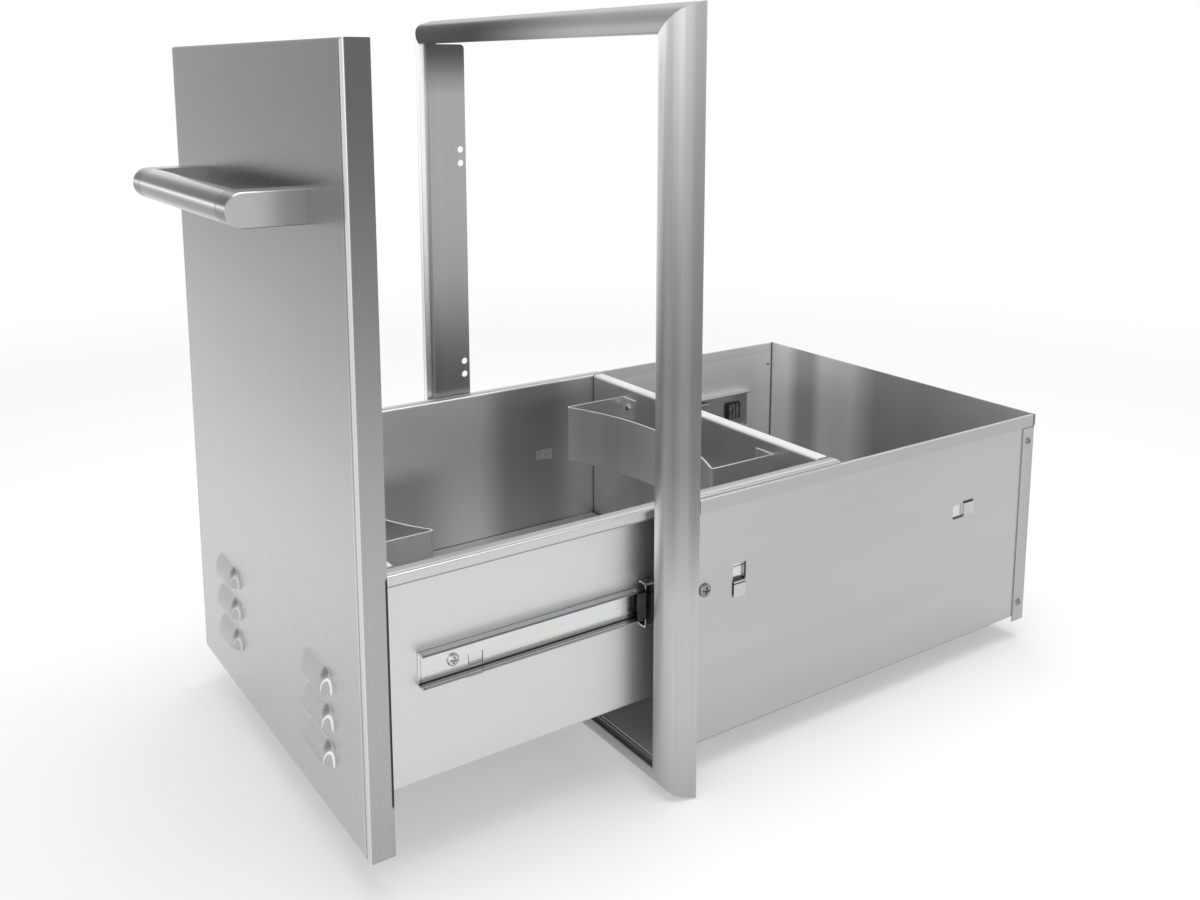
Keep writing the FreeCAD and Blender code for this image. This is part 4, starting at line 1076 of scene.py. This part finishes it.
class TANKDRAWER_OT_stage(bpy.types.Operator):
    """Set the floor, the lights, the world and the camera"""

    bl_idname = "tankdrawer.stage"
    bl_label = "Stage"

    def execute(self, context):
        _, _, stage = settings()
        scene = context.scene
        self.make_floor(scene, stage)
        self.make_world(scene, stage)
        add_area_light("overhead", (0.1, 0.1, 2.3), (0.0, 0.05, 0.2), (2.2, 2.2), stage.key_power)
        add_area_light("camera_side", (1.9, -1.35, 1.0), (0.0, -0.05, 0.3), (2.0, 1.6), stage.fill_power)
        self.make_camera(scene)
        scene.view_settings.view_transform = "Standard"
        return {"FINISHED"}

    def make_floor(self, scene, stage):
        """White paper that keeps the object's shadow near it and fades to pure white farther off."""
        mesh = bpy.data.meshes.new("studio_floor")
        half = stage.floor_size / 2
        corners = [(x, y, FLOOR_LEVEL) for x, y in ((-half, -half), (half, -half), (half, half), (-half, half))]
        mesh.from_pydata(corners, [], [(0, 1, 2, 3)])
        floor = bpy.data.objects.new("studio_floor", mesh)
        scene.collection.objects.link(floor)
        material, shader = start_material("floor_paper")
        paper = shader.node("ShaderNodeBsdfDiffuse", Color=neutral(0.62))
        glow = shader.node("ShaderNodeEmission", Color=neutral(1.0), Strength=0.34)
        white = shader.node("ShaderNodeEmission", Color=neutral(1.0), Strength=1.0)
        near = shader.node("ShaderNodeAddShader", sockets={0: paper, 1: glow})
        reach = shader.node("ShaderNodeVectorMath", {"operation": "LENGTH"}, "Value", {0: shader.place()})
        far = shader.between(reach, 0.8, 2.2)
        shown = shader.node("ShaderNodeMixShader", sockets={0: far, 1: near, 2: white})
        picked = shader.node("ShaderNodeMixShader", sockets={0: seen_directly(shader), 1: paper, 2: shown})
        shader.node("ShaderNodeOutputMaterial", Surface=picked)
        mesh.materials.append(material)

    def make_world(self, scene, stage):
        """White backdrop with a dimmer ceiling, and a lower strength for what it lights."""
        world = bpy.data.worlds.new("studio")
        scene.world = world
        shader = Shader(world)
        direction = shader.node("ShaderNodeTexCoord", output="Generated")
        rise = shader.node("ShaderNodeSeparateXYZ", output="Z", Vector=direction)
        ceiling = shader.between(rise, 0.25, 0.6, 1.0, stage.ceiling)
        strength = stage.ambient + seen_directly(shader) * (ceiling - stage.ambient)
        sky = shader.node("ShaderNodeBackground", Color=neutral(1.0), Strength=strength)
        shader.node("ShaderNodeOutputWorld", Surface=sky)

    def make_camera(self, scene):
        """Camera of the photo: it looks a little down, and a lens shift does the rest."""
        downward, heading = 9.5614, 55.6728
        lens = bpy.data.cameras.new("photo_camera")
        lens.sensor_width = 36.0
        lens.lens = 35.55
        lens.shift_y = -0.15
        camera = bpy.data.objects.new("photo_camera", lens)
        camera.location = (0.8717, -0.5393, 0.5617)
        camera.rotation_euler = (math.radians(90 - downward), 0.0, math.radians(heading))
        scene.collection.objects.link(camera)
        scene.camera = camera


class TANKDRAWER_PT_panel(bpy.types.Panel):
    """Lists the drawer's pieces and settings"""

    bl_idname = "TANKDRAWER_PT_panel"
    bl_label = "Tank drawer"
    bl_space_type = "VIEW_3D"
    bl_region_type = "UI"
    bl_category = "Tank drawer"

    def draw(self, context):
        for group in settings():
            for name in group.bl_rna.properties.keys():
                if name not in ("rna_type", "name"):
                    self.layout.prop(group, name)
        for operator in OPERATORS:
            self.layout.operator(operator.bl_idname)


GROUPS = (SteelSettings, HardwareSettings, StageSettings)
OPERATORS = (
    TANKDRAWER_OT_frame, TANKDRAWER_OT_case, TANKDRAWER_OT_drawer, TANKDRAWER_OT_door, TANKDRAWER_OT_slides,
    TANKDRAWER_OT_stage,
)
CLASSES = (*GROUPS, *OPERATORS, TANKDRAWER_PT_panel)


def register():
    for kind in CLASSES:
        bpy.utils.register_class(kind)
    bpy.types.Scene.tank_drawer_steel = bpy.props.PointerProperty(type=SteelSettings)
    bpy.types.Scene.tank_drawer_hardware = bpy.props.PointerProperty(type=HardwareSettings)
    bpy.types.Scene.tank_drawer_stage = bpy.props.PointerProperty(type=StageSettings)


def unregister():
    del bpy.types.Scene.tank_drawer_steel
    del bpy.types.Scene.tank_drawer_hardware
    del bpy.types.Scene.tank_drawer_stage
    for kind in reversed(CLASSES):
        bpy.utils.unregister_class(kind)


def main():
    register()
    for operator in OPERATORS:
        group, name = operator.bl_idname.split(".")
        getattr(getattr(bpy.ops, group), name)()


if __name__ == "__main__":
    main()
